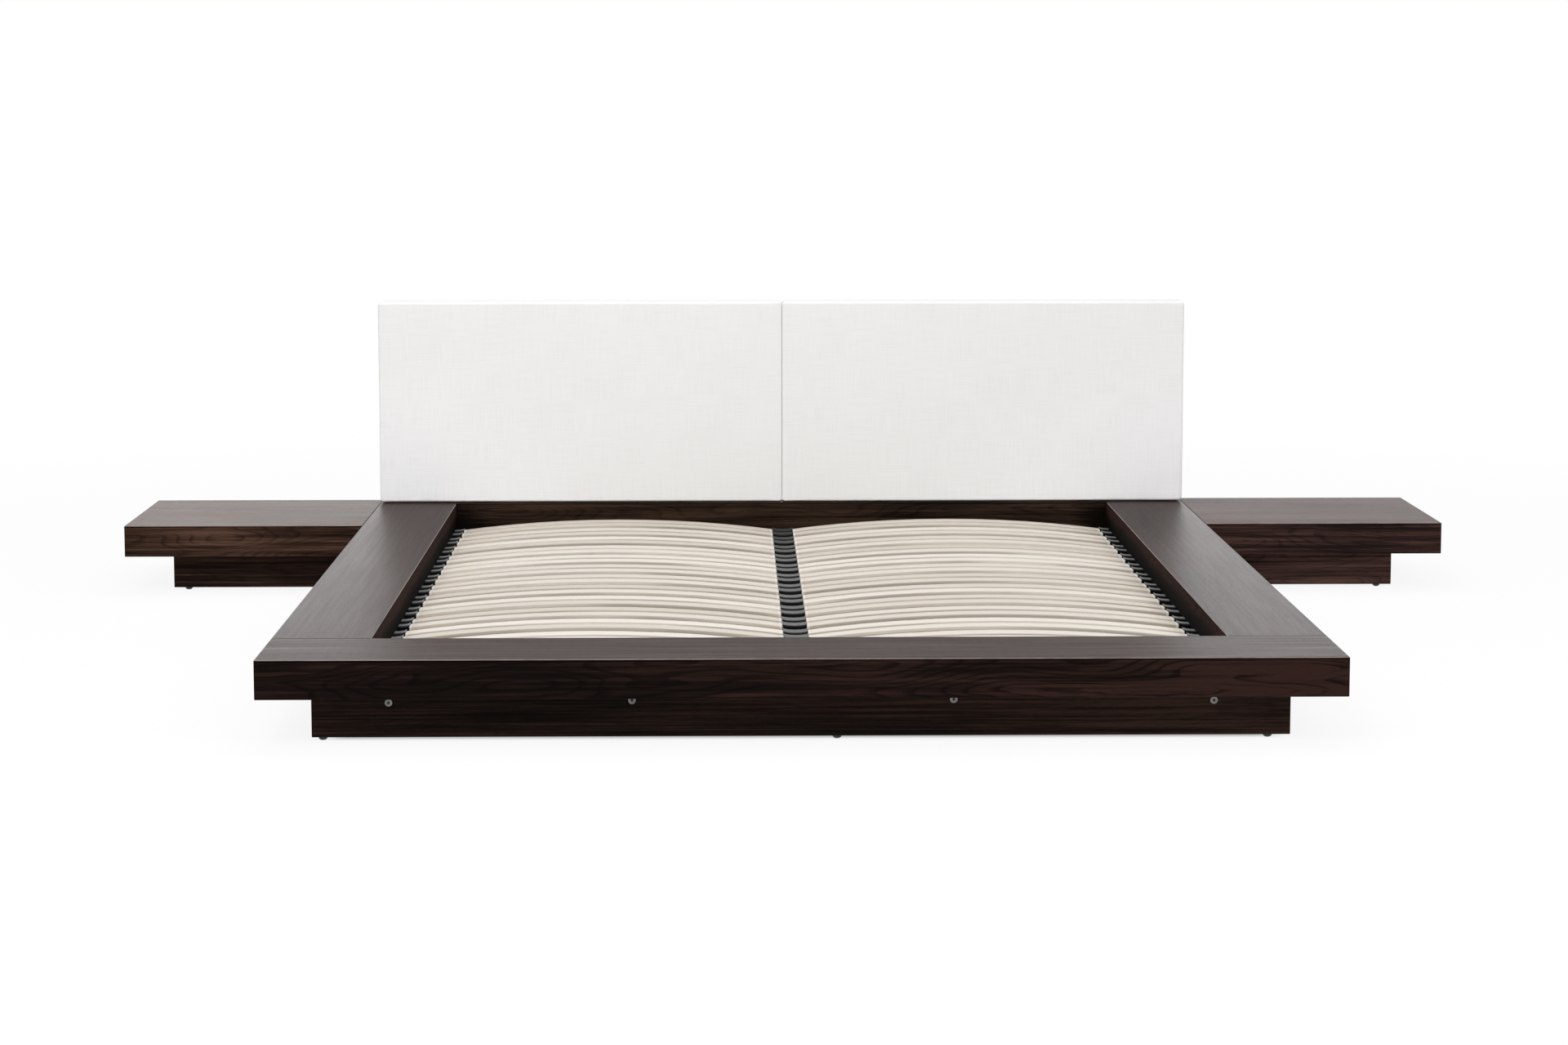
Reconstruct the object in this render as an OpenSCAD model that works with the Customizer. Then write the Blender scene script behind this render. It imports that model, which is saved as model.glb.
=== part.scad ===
// Low platform bed for two people, with a bedside shelf joined to each side, a headboard
// in two upholstered panels and a base of bent slats in moulded holders.
// Sizes are in millimetres. The origin is on the floor, under the middle of the whole bed.
// +X is to the right of someone at the foot who looks at the headboard, +Y runs from foot
// to head and +Z is up. Inside the modules, y is counted from the front face of the foot rail.

/* [Mattress] */
// Width of the mattress
mattress_w = 1524; // [1370:1:1830]
// Length of the mattress
mattress_len = 2032; // [1900:1:2130]
// Room left on each side of the mattress
side_gap = 8; // [3:0.5:20]
// Room left at each end of the mattress
end_gap = 6.5; // [3:0.5:20]

/* [Platform] */
// Width of each side rail's top
side_rail_w = 180; // [140:1:240]
// Width of the foot rail's top
foot_rail_w = 240; // [180:1:300]
// Height of the rails and of the bedside tops
rail_h = 70; // [55:1:90]
// Thickness of a rail's upright faces
rail_wall = 18; // [14:1:22]
// Thickness of a rail's top board
rail_top = 16; // [12:1:22]
// Thickness of the ribs inside a rail
rib_t = 16; // [12:1:22]
// Longest stretch of hollow between two ribs
rib_bay = 290; // [240:10:420]
// Thickness of the panel that closes a rail below
underside_t = 9; // [6:1:12]
// Room round an underside panel
panel_fit = 0.3; // [0.2:0.1:1]
// Size of the planed edge on every visible board
edge_ease = 1.2; // [0.5:0.1:2]

/* [Plinth] */
// Height of the plinth boards
plinth_h = 82; // [76:1:110]
// Thickness of the plinth boards
plinth_t = 22; // [18:1:30]
// How far the plinth stands back under the foot rail, the side rails and the bedside fronts
plinth_inset = 88; // [80:1:110]
// How far the plinth stands back at the head
rear_inset = 10; // [5:1:12]
// Leg of the glued corner blocks
block_leg = 38; // [25:1:45]
// Height of the glued corner blocks
block_h = 62; // [40:1:70]

/* [Bedside shelves] */
// Width of each bedside top
shelf_w = 535; // [400:1:650]
// Depth of each bedside top
shelf_d = 490; // [400:1:600]
// How far the bedside plinth stands back on its outer side
shelf_plinth_inset = 96; // [60:1:130]

/* [Headboard] */
// Height of the headboard panels
board_h = 472; // [400:1:650]
// Thickness of the headboard panels, and width of the rail that carries them
board_t = 72; // [60:1:90]
// Gap between the two panels
board_split = 3; // [2:0.5:6]
// Shadow gap between the panels and the rail
shadow_gap = 3; // [2:0.5:8]
// Radius of the padded edges
board_round = 8; // [6:0.5:10]
// How far the middle of a panel stands proud of its edges
crown = 2; // [1:0.5:6]
// Thickness of the cover with its wadding
cover_t = 4; // [3.5:0.5:6]
// Thickness of the foam behind the cover
foam_t = 18; // [10:1:25]
// Thickness of the board that carries the foam
carrier_t = 6; // [4:1:9]
// Width of the frame's battens
batten_w = 60; // [45:1:70]
// Thickness of the dust cover on the back, and of the turned-in hem round it
back_t = 2.5; // [2:0.5:4]
// Width of the hem on the back
hem_w = 25; // [15:1:35]

/* [Slats] */
// Width of a slat
slat_w = 38; // [30:1:45]
// Thickness of a slat
slat_t = 8; // [6:0.5:10]
// Rise of the middle of a slat over its ends
slat_rise = 25.6; // [18:0.2:30]
// Radius of the slat's long edges
slat_round = 2; // [1:0.5:2.5]
// Distance between the two slats of a pair
slat_pitch = 66; // [58:1:72]
// Number of pairs in each column
pairs_n = 13; // [11:1:14]
// From each end of the recess to the middle of the nearest pair
end_pair = 95; // [70:1:120]

/* [Slat holders] */
// Length of a side holder
holder_len = 22.5; // [20:0.5:30]
// Length of a centre holder, which takes slats from both sides
centre_holder_len = 47.5; // [44:0.5:60]
// How deep a slat sits in its holder
slat_seat = 17; // [10:0.5:17.5]
// Wall of a holder round the slat
holder_wall = 2; // [1.5:0.1:3]
// Least floor of a holder under the slat
holder_floor = 1.6; // [1.2:0.1:3]
// Height and length of the thicker lip at a holder's mouth
lip = 1; // [0.5:0.1:1.5]
// Radius of a holder's corners
holder_round = 3; // [2:0.5:4]
// How much a holder's top sinks from its mouth to the slat's end, along an arc
holder_sink = 2; // [1:0.1:2.4]
// Height of the bridge that joins the two sleeves of a pair
bridge_h = 7; // [5:0.5:9]
// Diameter of the peg under a holder
peg_d = 9.8; // [7:0.1:12]
// Length of the peg under a holder
peg_len = 20; // [12:1:28]
// Room round a slat in its holder
slat_fit = 0.3; // [0.2:0.1:0.6]
// Room round pegs, dowels, bolts and nails in their bores
bore_fit = 0.1; // [0.05:0.05:0.3]

/* [Slat supports] */
// Width of the bearers along the side rails
bearer_w = 112; // [90:1:130]
// Height of the three bearers
bearer_h = 40; // [34:1:46]
// How far a side bearer reaches under its rail
bearer_lap = 12; // [6:1:20]
// Width of the centre bearer
centre_bearer_w = 90; // [60:1:110]
// Thickness of the two stringers
stringer_t = 30; // [24:1:40]
// Height of the two stringers
stringer_h = 70; // [66:1:74]
// Distance of each stringer from the middle between them
stringer_x = 283; // [220:1:340]
// Sideways shift of both stringers
stringer_shift = -16; // [-20:1:20]
// Width of the cross bars that carry the centre bearer
cross_bar_w = 40; // [30:1:60]
// Height of the cross bars
cross_bar_h = 28; // [22:1:30]
// Number of cross bars
cross_bars_n = 4; // [3:1:5]
// Length, width and height of the tenons on the cross bars
tenon = [10, 24, 16]; // [8:1:30]
// Side of the square centre legs
leg_w = 60; // [45:1:80]

/* [Fasteners] */
// Diameter of the plinth bolts' heads
bolt_head_d = 14; // [12:0.5:16]
// Height of the plinth bolts' heads
bolt_head_h = 3.4; // [2.5:0.1:4]
// Diameter of the bolts
bolt_d = 6; // [5:0.5:7]
// Width across the flats of the hexagon sockets
socket_w = 5; // [4:0.5:5.5]
// Depth of the hexagon sockets
socket_depth = 2.4; // [1.5:0.1:2.4]
// Height of a stringer bolt below the top of the plinth
stringer_bolt_drop = 17; // [14:0.5:22]
// From the back of the plinth board to the middle of a barrel nut
nut_back = 24; // [16:1:40]
// Diameter of the barrel nuts
nut_d = 10; // [9:0.5:12]
// Length of the barrel nuts
nut_len = 14; // [12:0.5:16]
// Diameter of the dowels between the rails
dowel_d = 8; // [6:0.5:10]
// Wood left between a dowel and the far face of its board
dowel_cover = 2; // [1:0.5:4]
// Distance of the dowels from a rail's edges
dowel_edge = 45; // [30:1:60]
// Leg of the angle brackets
bracket_leg = 30; // [24:1:30]
// Width of the angle brackets and the joining plates
bracket_w = 25; // [18:1:30]
// Thickness of the angle brackets and the joining plates
bracket_t = 2.5; // [2:0.1:3]
// Diameter of the wood screws
screw_d = 3.5; // [3:0.1:4]
// Grip of the wood screws in the board
screw_grip = 13; // [10:1:14]
// Diameter of the wood screws' heads
screw_head_d = 7; // [6:0.1:8]
// Height of the wood screws' heads
screw_head_h = 2.2; // [1.8:0.1:2.6]
// Length of the joining plates
plate_len = 84; // [76:1:120]
// Width of the steel straps behind the headboard
strap_w = 40; // [30:1:50]
// Thickness of the straps
strap_t = 4; // [3:0.5:6]
// Grip of the strap bolts in the wood
strap_grip = 34; // [20:1:38]
// Diameter of the strap bolts' heads
strap_head_d = 13; // [12:0.5:14]
// Height of the strap bolts' heads
strap_head_h = 4; // [3:0.1:5]
// Diameter of the rubber spacers under the headboard
spacer_d = 24; // [18:1:30]

/* [Glides] */
// Diameter of a glide
glide_d = 17; // [14:0.5:20]
// Height of a glide
glide_h = 6; // [4:0.5:7]
// Diameter of a glide's nail
nail_d = 2.5; // [2:0.1:3]
// Length of a glide's nail in the wood
nail_len = 14; // [10:1:18]
// Distance of the corner glides from the plinth's left and right ends
glide_ends = [19, 39]; // [12:1:60]
// Distance of the middle glides from the middle of the plinth
glide_middle = 62; // [0:1:120]
// How far a bedside glide stands in from the bedside plinth's side board
shelf_glide_in = 10; // [9:1:40]

/* [Hidden] */
$fn = 48;
// Fine enough that a slat's long, flat bow is drawn smooth
bow_fn = 240;
cut = 1;

recess_w = mattress_w + 2 * side_gap;
recess_len = mattress_len + 2 * end_gap;
platform_w = recess_w + 2 * side_rail_w;
platform_len = foot_rail_w + recess_len + board_t;
overall_len = platform_len + strap_t + strap_head_h;
plinth_top = glide_h + plinth_h;
platform_top = plinth_top + rail_h;
head_y = foot_rail_w + recess_len;

plinth_w = platform_w - 2 * plinth_inset;
plinth_back = platform_len - rear_inset - plinth_t;
support_y0 = plinth_inset + plinth_t;
support_len = plinth_back - support_y0;
side_plinth_x = plinth_w / 2 - plinth_t;

shelf_y = platform_len - shelf_d;
shelf_outer = platform_w / 2 + shelf_w;
shelf_plinth_y = shelf_y + plinth_inset;
shelf_side_x = shelf_outer - shelf_plinth_inset - plinth_t;

panel_w = (platform_w - board_split) / 2;
panel_z = platform_top + shadow_gap;
frame_w = panel_w - 2 * cover_t;
frame_h = board_h - 2 * cover_t;
foam_y = head_y + crown + cover_t;
frame_y = foam_y + foam_t;
back_y = platform_len - back_t;
frame_t = back_y - frame_y;

// A slat runs from the pocket of a centre holder to the pocket of a side holder.
side_mouth = recess_w / 2 - panel_fit - holder_len;
centre_mouth = centre_holder_len / 2;
slat_len = side_mouth - centre_mouth + 2 * slat_seat;
slat_mid = (side_mouth + centre_mouth) / 2;
slat_r = (slat_len * slat_len / 4 + slat_rise * slat_rise) / (2 * slat_rise);
slat_z = plinth_top + holder_floor + slat_fit;
// Height of the far axis that a slat is bent about
bow_z = slat_z - sqrt(pow(slat_r, 2) - pow(slat_len / 2, 2));
// How much higher the slat is at the holder's mouth than at its own end
seat_climb = bow_z + sqrt(pow(slat_r, 2) - pow(slat_len / 2 - slat_seat, 2)) - slat_z;
holder_h = holder_floor + slat_t + seat_climb + 2 * slat_fit + holder_wall;
sleeve_w = slat_w + 2 * (slat_fit + holder_wall);
pair_pitch = (recess_len - 2 * end_pair) / (pairs_n - 1);
pairs_y = [for (i = [0 : pairs_n - 1]) foot_rail_w + end_pair + i * pair_pitch];

bearer_x = recess_w / 2 + bearer_lap - bearer_w / 2;
bearer_z = plinth_top - bearer_h;
left_stringer = stringer_shift - stringer_x;
right_stringer = stringer_shift + stringer_x;
stringer_z = plinth_top - stringer_h;
cross_bar_z = bearer_z - cross_bar_h;
cross_bar_step = support_len / cross_bars_n;
cross_bars_y = [for (i = [0 : cross_bars_n - 1]) support_y0 + (i + 0.5) * cross_bar_step];
legs_y = [for (i = [1 : cross_bars_n - 1]) support_y0 + i * cross_bar_step];

// Each bolt is [x, z, true if its support is a flat bearer]
bolts = [
    [-bearer_x, bearer_z + bearer_h / 2, true], [left_stringer, plinth_top - stringer_bolt_drop, false],
    [right_stringer, plinth_top - stringer_bolt_drop, false], [bearer_x, bearer_z + bearer_h / 2, true]];
bolt_len = plinth_t + nut_back + nut_d / 2;

dowel_len = 2 * (rail_wall - dowel_cover);
dowels_x = [recess_w / 2 + dowel_edge, platform_w / 2 - dowel_edge];

// Each bracket is [x, y, turn], where turn 0 points its upper leg along +X
bracket_pitch = 320;
brackets = concat(
    [for (x = [-1.5 : 1.5]) [x * bracket_pitch, support_y0, 90]],
    [for (x = [-1.5 : 1.5]) [x * bracket_pitch, plinth_back, -90]],
    [for (i = [1 : 3]) [-side_plinth_x, support_y0 + i * support_len / 4, 0]],
    [for (i = [1 : 3]) [side_plinth_x, support_y0 + i * support_len / 4, 180]],
    [for (s = [-1, 1], i = [1, 2]) [s * (plinth_w / 2 + i * (shelf_side_x - plinth_w / 2) / 3),
                                    shelf_plinth_y + plinth_t, 90]],
    [for (s = [-1, 1]) [s * shelf_side_x, (shelf_plinth_y + plinth_back) / 2, s > 0 ? 180 : 0]]);
screw_out = bracket_leg * 0.6;
plate_margin = 60;
plates = [for (s = [-1, 1], y = [shelf_plinth_y + plinth_t + plate_margin, head_y - plate_margin])
    [s * platform_w / 2, y]];
plate_screw = plate_len / 2 - screw_head_d;

// Straps stand on the quarter lines of each panel
straps_x = [for (s = [-1, 1], i = [0.25, 0.75]) s * (board_split / 2 + i * panel_w)];
strap_margin = 18;
strap_drop = 62;
strap_z = platform_top - strap_drop;
strap_holes = [strap_z + strap_margin, platform_top - strap_margin,
               panel_z + cover_t + batten_w / 2, panel_z + board_h / 2];
strap_top = strap_holes[3] + strap_margin;

front_glides = [-plinth_w / 2 + glide_ends[0], glide_middle, plinth_w / 2 - glide_ends[1]];
shelf_glide_x = shelf_side_x - shelf_glide_in;
glides = concat(
    [for (x = front_glides) [x, plinth_inset + plinth_t / 2]],
    [for (x = front_glides) [x, plinth_back + plinth_t / 2]],
    [for (s = [-1, 1], i = [1 : 3]) [s * (side_plinth_x + plinth_t / 2), support_y0 + i * support_len / 4]],
    [for (s = [-1, 1], y = [shelf_plinth_y, plinth_back]) [s * shelf_glide_x, y + plinth_t / 2]],
    [for (y = legs_y) [0, y]]);

walnut = [0.20, 0.13, 0.10];
walnut_dark = [0.10, 0.07, 0.06];
plywood = [0.72, 0.60, 0.45];
birch = [0.90, 0.85, 0.75];
linen = [0.90, 0.90, 0.88];
holder_black = [0.12, 0.12, 0.13];
steel = [0.72, 0.73, 0.75];

// From the foot rail's front face to the bed's own origin
module from_foot() {
    translate([0, -overall_len / 2, 0]) children();
}

// The right-hand piece as drawn, or its mirror image on the left
module on_side(side) {
    mirror([side < 0 ? 1 : 0, 0, 0]) children();
}

// A rectangle with its corners cut off at 45 degrees
module eased_rect(w, h, ease) {
    polygon([[ease, 0], [w - ease, 0], [w, ease], [w, h - ease],
             [w - ease, h], [ease, h], [0, h - ease], [0, ease]]);
}

// A board with all twelve edges planed off
module eased_block(size, ease = edge_ease) {
    intersection() {
        linear_extrude(height = size.z) eased_rect(size.x, size.y, ease);
        translate([0, size.y, 0]) rotate([90, 0, 0])
            linear_extrude(height = size.y) eased_rect(size.x, size.z, ease);
        rotate([90, 0, 90]) linear_extrude(height = size.x) eased_rect(size.y, size.z, ease);
    }
}

// A rectangle with round corners, about the origin
module rounded_rect(w, h, r) {
    square([w - 2 * r, h], center = true);
    square([w, h - 2 * r], center = true);
    for (x = [-1, 1], y = [-1, 1]) translate([x * (w / 2 - r), y * (h / 2 - r)]) circle(r);
}

// The wide opening below a hollow rail, less a margin all round
module rail_opening(size, height, margin = 0) {
    translate([rail_wall + margin, rail_wall + margin, 0])
        cube([size.x - 2 * (rail_wall + margin), size.y - 2 * (rail_wall + margin), height]);
}

// A hollow rail: top board, upright faces and ribs, open below for its underside panel
module hollow_rail(size) {
    along_x = size.x > size.y;
    inner = (along_x ? size.x : size.y) - 2 * rail_wall;
    bays = ceil(inner / rib_bay);
    bay = (inner - (bays - 1) * rib_t) / bays;
    across = (along_x ? size.y : size.x) - 2 * rail_wall;
    difference() {
        eased_block(size);
        translate([0, 0, -cut]) rail_opening(size, underside_t + cut);
        for (i = [0 : bays - 1]) {
            start = rail_wall + i * (bay + rib_t);
            translate(along_x ? [start, rail_wall, 0] : [rail_wall, start, 0])
                cube(concat(along_x ? [bay, across] : [across, bay], [size.z - rail_top]));
        }
    }
}

// The panel that closes a hollow rail below
module underside(size) {
    rail_opening(size, underside_t, panel_fit);
}

foot_rail_size = [platform_w, foot_rail_w, rail_h];
side_rail_size = [side_rail_w, recess_len, rail_h];
shelf_size = [shelf_w, shelf_d, rail_h];

module at_foot_rail() {
    translate([-platform_w / 2, 0, plinth_top]) children();
}

module at_side_rail(side) {
    on_side(side) translate([recess_w / 2, foot_rail_w, plinth_top]) children();
}

module at_shelf(side) {
    on_side(side) translate([platform_w / 2, shelf_y, plinth_top]) children();
}

module foot_rail() {
    color(walnut) from_foot() difference() {
        at_foot_rail() hollow_rail(foot_rail_size);
        dowels(bore_fit);
        screws(bore_fit);
    }
}

module foot_rail_underside() {
    color(plywood) from_foot() difference() {
        at_foot_rail() underside(foot_rail_size);
        screws(bore_fit);
    }
}

module side_rail(side) {
    color(walnut) from_foot() difference() {
        at_side_rail(side) hollow_rail(side_rail_size);
        dowels(bore_fit);
        screws(bore_fit);
    }
}

module side_rail_underside(side) {
    color(plywood) from_foot() difference() {
        at_side_rail(side) underside(side_rail_size);
        screws(bore_fit);
    }
}

// The rail at the head is solid, because it carries the headboard on its straps
module head_rail() {
    color(walnut) from_foot() difference() {
        translate([-platform_w / 2, head_y, plinth_top]) eased_block([platform_w, board_t, rail_h]);
        dowels(bore_fit);
        screws(bore_fit);
        strap_bolt_shanks(bore_fit);
    }
}

// Dowels lie half in a side rail and half in the rail across its end
module dowels(fit) {
    for (s = [-1, 1], x = dowels_x, y = [foot_rail_w, head_y])
        translate([s * x, y, plinth_top + rail_h / 2]) rotate([90, 0, 0])
            cylinder(d = dowel_d + 2 * fit, h = dowel_len + 2 * fit, center = true);
}

module rail_dowels() {
    color(birch) from_foot() dowels(0);
}

module shelf_top(side) {
    color(walnut) from_foot() difference() {
        at_shelf(side) hollow_rail(shelf_size);
        screws(bore_fit);
    }
}

module shelf_underside(side) {
    color(plywood) from_foot() difference() {
        at_shelf(side) underside(shelf_size);
        screws(bore_fit);
    }
}

// A plinth board that stands on the glides, from corner [x, y], w wide and d deep
module plinth_board(x, y, w, d) {
    color(walnut_dark) difference() {
        translate([x, y, glide_h]) eased_block([w, d, plinth_h]);
        screws(bore_fit);
        glide_nails(bore_fit);
        bolt_shanks(bore_fit);
    }
}

module plinth_front() {
    from_foot() plinth_board(-plinth_w / 2, plinth_inset, plinth_w, plinth_t);
}

module plinth_back_board() {
    from_foot() plinth_board(-plinth_w / 2, plinth_back, plinth_w, plinth_t);
}

module plinth_side(side) {
    from_foot() plinth_board(side < 0 ? -plinth_w / 2 : side_plinth_x, support_y0, plinth_t, support_len);
}

module shelf_plinth_across(side, y) {
    run = shelf_side_x + plinth_t - plinth_w / 2;
    from_foot() plinth_board(side < 0 ? -plinth_w / 2 - run : plinth_w / 2, y, run, plinth_t);
}

module shelf_plinth_side(side) {
    y = shelf_plinth_y + plinth_t;
    from_foot() plinth_board(side < 0 ? -shelf_side_x - plinth_t : shelf_side_x, y, plinth_t, plinth_back - y);
}

// A glued block fills the corner at the origin, between +X and +Y
module corner_block() {
    linear_extrude(height = block_h) polygon([[0, 0], [block_leg, 0], [0, block_leg]]);
}

module corner_blocks() {
    color(plywood) from_foot() for (s = [-1, 1]) on_side(s) translate([0, 0, glide_h]) {
        translate([side_plinth_x, support_y0, 0]) rotate(90) corner_block();
        translate([side_plinth_x, plinth_back, 0]) rotate(180) corner_block();
        translate([plinth_w / 2, shelf_plinth_y + plinth_t, 0]) corner_block();
        translate([plinth_w / 2, plinth_back, 0]) rotate(-90) corner_block();
        translate([shelf_side_x, shelf_plinth_y + plinth_t, 0]) rotate(90) corner_block();
        translate([shelf_side_x, plinth_back, 0]) rotate(180) corner_block();
    }
}

// A lengthwise board from plinth to plinth, centred on x
module support(x, z, w, h) {
    translate([x - w / 2, support_y0, z]) cube([w, support_len, h]);
}

module slat_bearer(side) {
    color(plywood) from_foot() difference() {
        support(side * bearer_x, bearer_z, bearer_w, bearer_h);
        pegs(side * (side_mouth + holder_len / 2), bore_fit);
        bolt_shanks(bore_fit);
        nut_bores();
    }
}

module centre_bearer() {
    color(plywood) from_foot() difference() {
        support(0, bearer_z, centre_bearer_w, bearer_h);
        pegs(0, bore_fit);
    }
}

module stringer(x) {
    color(plywood) from_foot() difference() {
        support(x, stringer_z, stringer_t, stringer_h);
        cross_bar_shapes(slat_fit);
        bolt_shanks(bore_fit);
        nut_bores();
    }
}

// Cross bars run between the stringers, with a tenon in each
module cross_bar_shapes(fit = 0) {
    inner_x = left_stringer + stringer_t / 2;
    run = right_stringer - left_stringer - stringer_t;
    for (y = cross_bars_y) {
        translate([inner_x, y - cross_bar_w / 2, cross_bar_z]) cube([run, cross_bar_w, cross_bar_h]);
        translate([inner_x - tenon.x - fit, y - tenon.y / 2 - fit, cross_bar_z + (cross_bar_h - tenon.z) / 2 - fit])
            cube([run + 2 * (tenon.x + fit), tenon.y + 2 * fit, tenon.z + 2 * fit]);
    }
}

module cross_bars() {
    color(plywood) from_foot() cross_bar_shapes();
}

module centre_legs() {
    color(plywood) from_foot() difference() {
        for (y = legs_y) translate([-leg_w / 2, y - leg_w / 2, glide_h])
            eased_block([leg_w, leg_w, bearer_z - glide_h]);
        glide_nails(bore_fit);
    }
}

// One bent slat, bowed upwards about a far axis below it, with its long edges rounded
module slat() {
    half = asin(slat_len / 2 / (slat_r + slat_t));
    translate([0, 0, bow_z]) rotate([90, 0, 0]) rotate([0, 0, 90 - half])
        rotate_extrude(angle = 2 * half, $fn = bow_fn) translate([slat_r + slat_t / 2, 0])
            rounded_rect(slat_t, slat_w, slat_round, $fn = 24);
}

// The two slats of each pair on one side of the bed
module slats(side) {
    color(birch) from_foot() for (y = pairs_y, j = [-0.5, 0.5])
        translate([side * slat_mid, y + j * slat_pitch, 0]) slat();
}

// A rounded tube of a holder along X. Its top is lowest at X = 0 and rises along an arc,
// which reaches the holder's full height at run.
module sleeve(from, to, run) {
    sink_r = (pow(run, 2) + pow(holder_sink, 2)) / (2 * holder_sink);
    half = asin((run + lip) / sink_r);
    intersection() {
        translate([from, -sleeve_w, 0]) cube([to - from, 2 * sleeve_w, 2 * holder_h]);
        translate([0, 0, holder_h - holder_sink + sink_r]) rotate([90, 0, 0]) rotate([0, 0, 270 - half])
            rotate_extrude(angle = 2 * half, $fn = bow_fn) translate([sink_r + holder_h, 0])
                rounded_rect(2 * holder_h, sleeve_w, holder_round);
    }
}

// The thicker lip at a sleeve's mouth, which faces -X
module mouth_lip() {
    rotate([90, 0, 90]) linear_extrude(height = 2 * lip)
        half_rounded(sleeve_w + 2 * lip, holder_h + lip);
}

// A section with a flat base on the X axis and round upper corners
module half_rounded(w, h) {
    translate([-w / 2, 0]) square([w, h - holder_round]);
    translate([0, h / 2]) rounded_rect(w, h, holder_round);
}

// A peg that holds a holder down in its bearer
module pegs(x, fit) {
    for (y = pairs_y) translate([x, y, plinth_top - peg_len - fit])
        cylinder(d = peg_d + 2 * fit, h = peg_len + cut + fit);
}

// The bridge between the two sleeves of a pair, hollowed from above round its two ribs
module bridge(length) {
    span = slat_pitch - sleeve_w + 2 * cut;
    pocket = (length - 4 * holder_wall) / 3;
    difference() {
        translate([0, -span / 2, 0]) cube([length, span, bridge_h]);
        for (i = [0, 2]) translate([holder_wall + i * (pocket + holder_wall), -span / 2 + 3 * holder_wall, 2 * holder_wall])
            cube([pocket, span - 6 * holder_wall, bridge_h]);
    }
}

// The peg under the bridge
module holder_peg(x) {
    translate([x, 0, -peg_len]) cylinder(d = peg_d, h = peg_len + holder_floor);
}

// The pockets for a pair of slats whose middles lie at x. Each is straight and follows
// the bow where its slat sits, from just outside the mouth to the slat's end.
module pockets(x) {
    slope = asin((slat_len - slat_seat) / 2 / (slat_r + slat_t / 2));
    mouth = 4 * lip;
    for (j = [-0.5, 0.5]) translate([x, j * slat_pitch, bow_z - plinth_top]) rotate([0, slope, 0])
        translate([-slat_seat / 2 - mouth, 0, slat_r + slat_t / 2]) rotate([90, 0, 90])
            linear_extrude(height = mouth + slat_seat + slat_fit)
                rounded_rect(slat_w + 2 * slat_fit, slat_t + 2 * slat_fit, slat_round + slat_fit);
}

// A side holder takes the outer ends of a pair
module side_holder() {
    difference() {
        union() {
            for (j = [-0.5, 0.5]) translate([0, j * slat_pitch, 0]) {
                translate([holder_len, 0, 0]) sleeve(lip - holder_len, 0, holder_len - 2 * lip);
                mouth_lip();
            }
            translate([2 * lip, 0, 0]) bridge(holder_len - 2 * lip);
            holder_peg(holder_len / 2);
        }
        pockets(slat_mid - side_mouth);
    }
}

// A centre holder takes two slats from the left and two from the right
module centre_holder() {
    difference() {
        union() {
            for (j = [-0.5, 0.5]) translate([0, j * slat_pitch, 0]) {
                sleeve(lip - centre_mouth, centre_mouth - lip, centre_mouth - 2 * lip);
                for (s = [-1, 1]) on_side(s) translate([-centre_mouth, 0, 0]) mouth_lip();
            }
            translate([-centre_mouth + 2 * lip, 0, 0]) bridge(centre_holder_len - 4 * lip);
            holder_peg(0);
        }
        for (s = [-1, 1]) on_side(s) pockets(-slat_mid);
    }
}

module side_holders(side) {
    color(holder_black) from_foot() on_side(side) for (y = pairs_y)
        translate([side_mouth, y, plinth_top]) side_holder();
}

module slat_holders_centre() {
    color(holder_black) from_foot() for (y = pairs_y)
        translate([0, y, plinth_top]) centre_holder();
}

// Points round a rectangle w by h with corners of radius r, in the XZ plane at depth y
corner_steps = 5;
function ring(w, h, r, y) = [for (c = [0 : 3], i = [0 : corner_steps])
    let (a = 90 * (c + i / corner_steps),
         cx = (w / 2 - r) * (c == 0 || c == 3 ? 1 : -1),
         cz = (h / 2 - r) * (c < 2 ? 1 : -1))
    [cx + r * cos(a), y, cz + r * sin(a)]];

// Outline of the cover as [inset, depth]: hem edge, padded front edge, then the crowned face
round_steps = 6;
crown_steps = 5;
least_r = 0.5;
function cover_profile() = concat(
    [[back_t / 2, board_t], [0, board_t - back_t]],
    [for (i = [0 : round_steps]) let (a = 90 * i / round_steps)
        [board_round * (1 - cos(a)), crown + board_round * (1 - sin(a))]],
    [for (i = [1 : crown_steps]) let (s = i / crown_steps)
        [board_round + s * (board_h / 2 - board_round - 2 * least_r), crown * (1 - sin(90 * s))]]);

// A padded panel: rings round the panel from its back to the crown of its face
module padded_form() {
    profile = cover_profile();
    per_ring = 4 * (corner_steps + 1);
    points = [for (p = profile)
        each ring(panel_w - 2 * p[0], board_h - 2 * p[0], max(board_round - p[0], least_r), p[1])];
    last = (len(profile) - 1) * per_ring;
    walls = [for (k = [0 : len(profile) - 2], i = [0 : per_ring - 1])
        let (a = k * per_ring + i, b = k * per_ring + (i + 1) % per_ring)
        each [[a, b, b + per_ring], [a, b + per_ring, a + per_ring]]];
    back = [for (i = [1 : per_ring - 2]) [0, i + 1, i]];
    face = [for (i = [1 : per_ring - 2]) [last, last + i, last + i + 1]];
    polyhedron(points = points, faces = concat(walls, back, face));
}

module at_panel(side) {
    translate([side * (panel_w + board_split) / 2, 0, panel_z + board_h / 2]) children();
}

// The cover wraps the foam and the frame and turns in behind them as a hem
module headboard_cover(side) {
    color(linen) from_foot() at_panel(side) difference() {
        translate([0, head_y, 0]) padded_form();
        translate([-frame_w / 2, foam_y, -frame_h / 2]) cube([frame_w, back_y - foam_y, frame_h]);
        panel_back(cut);
    }
}

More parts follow.
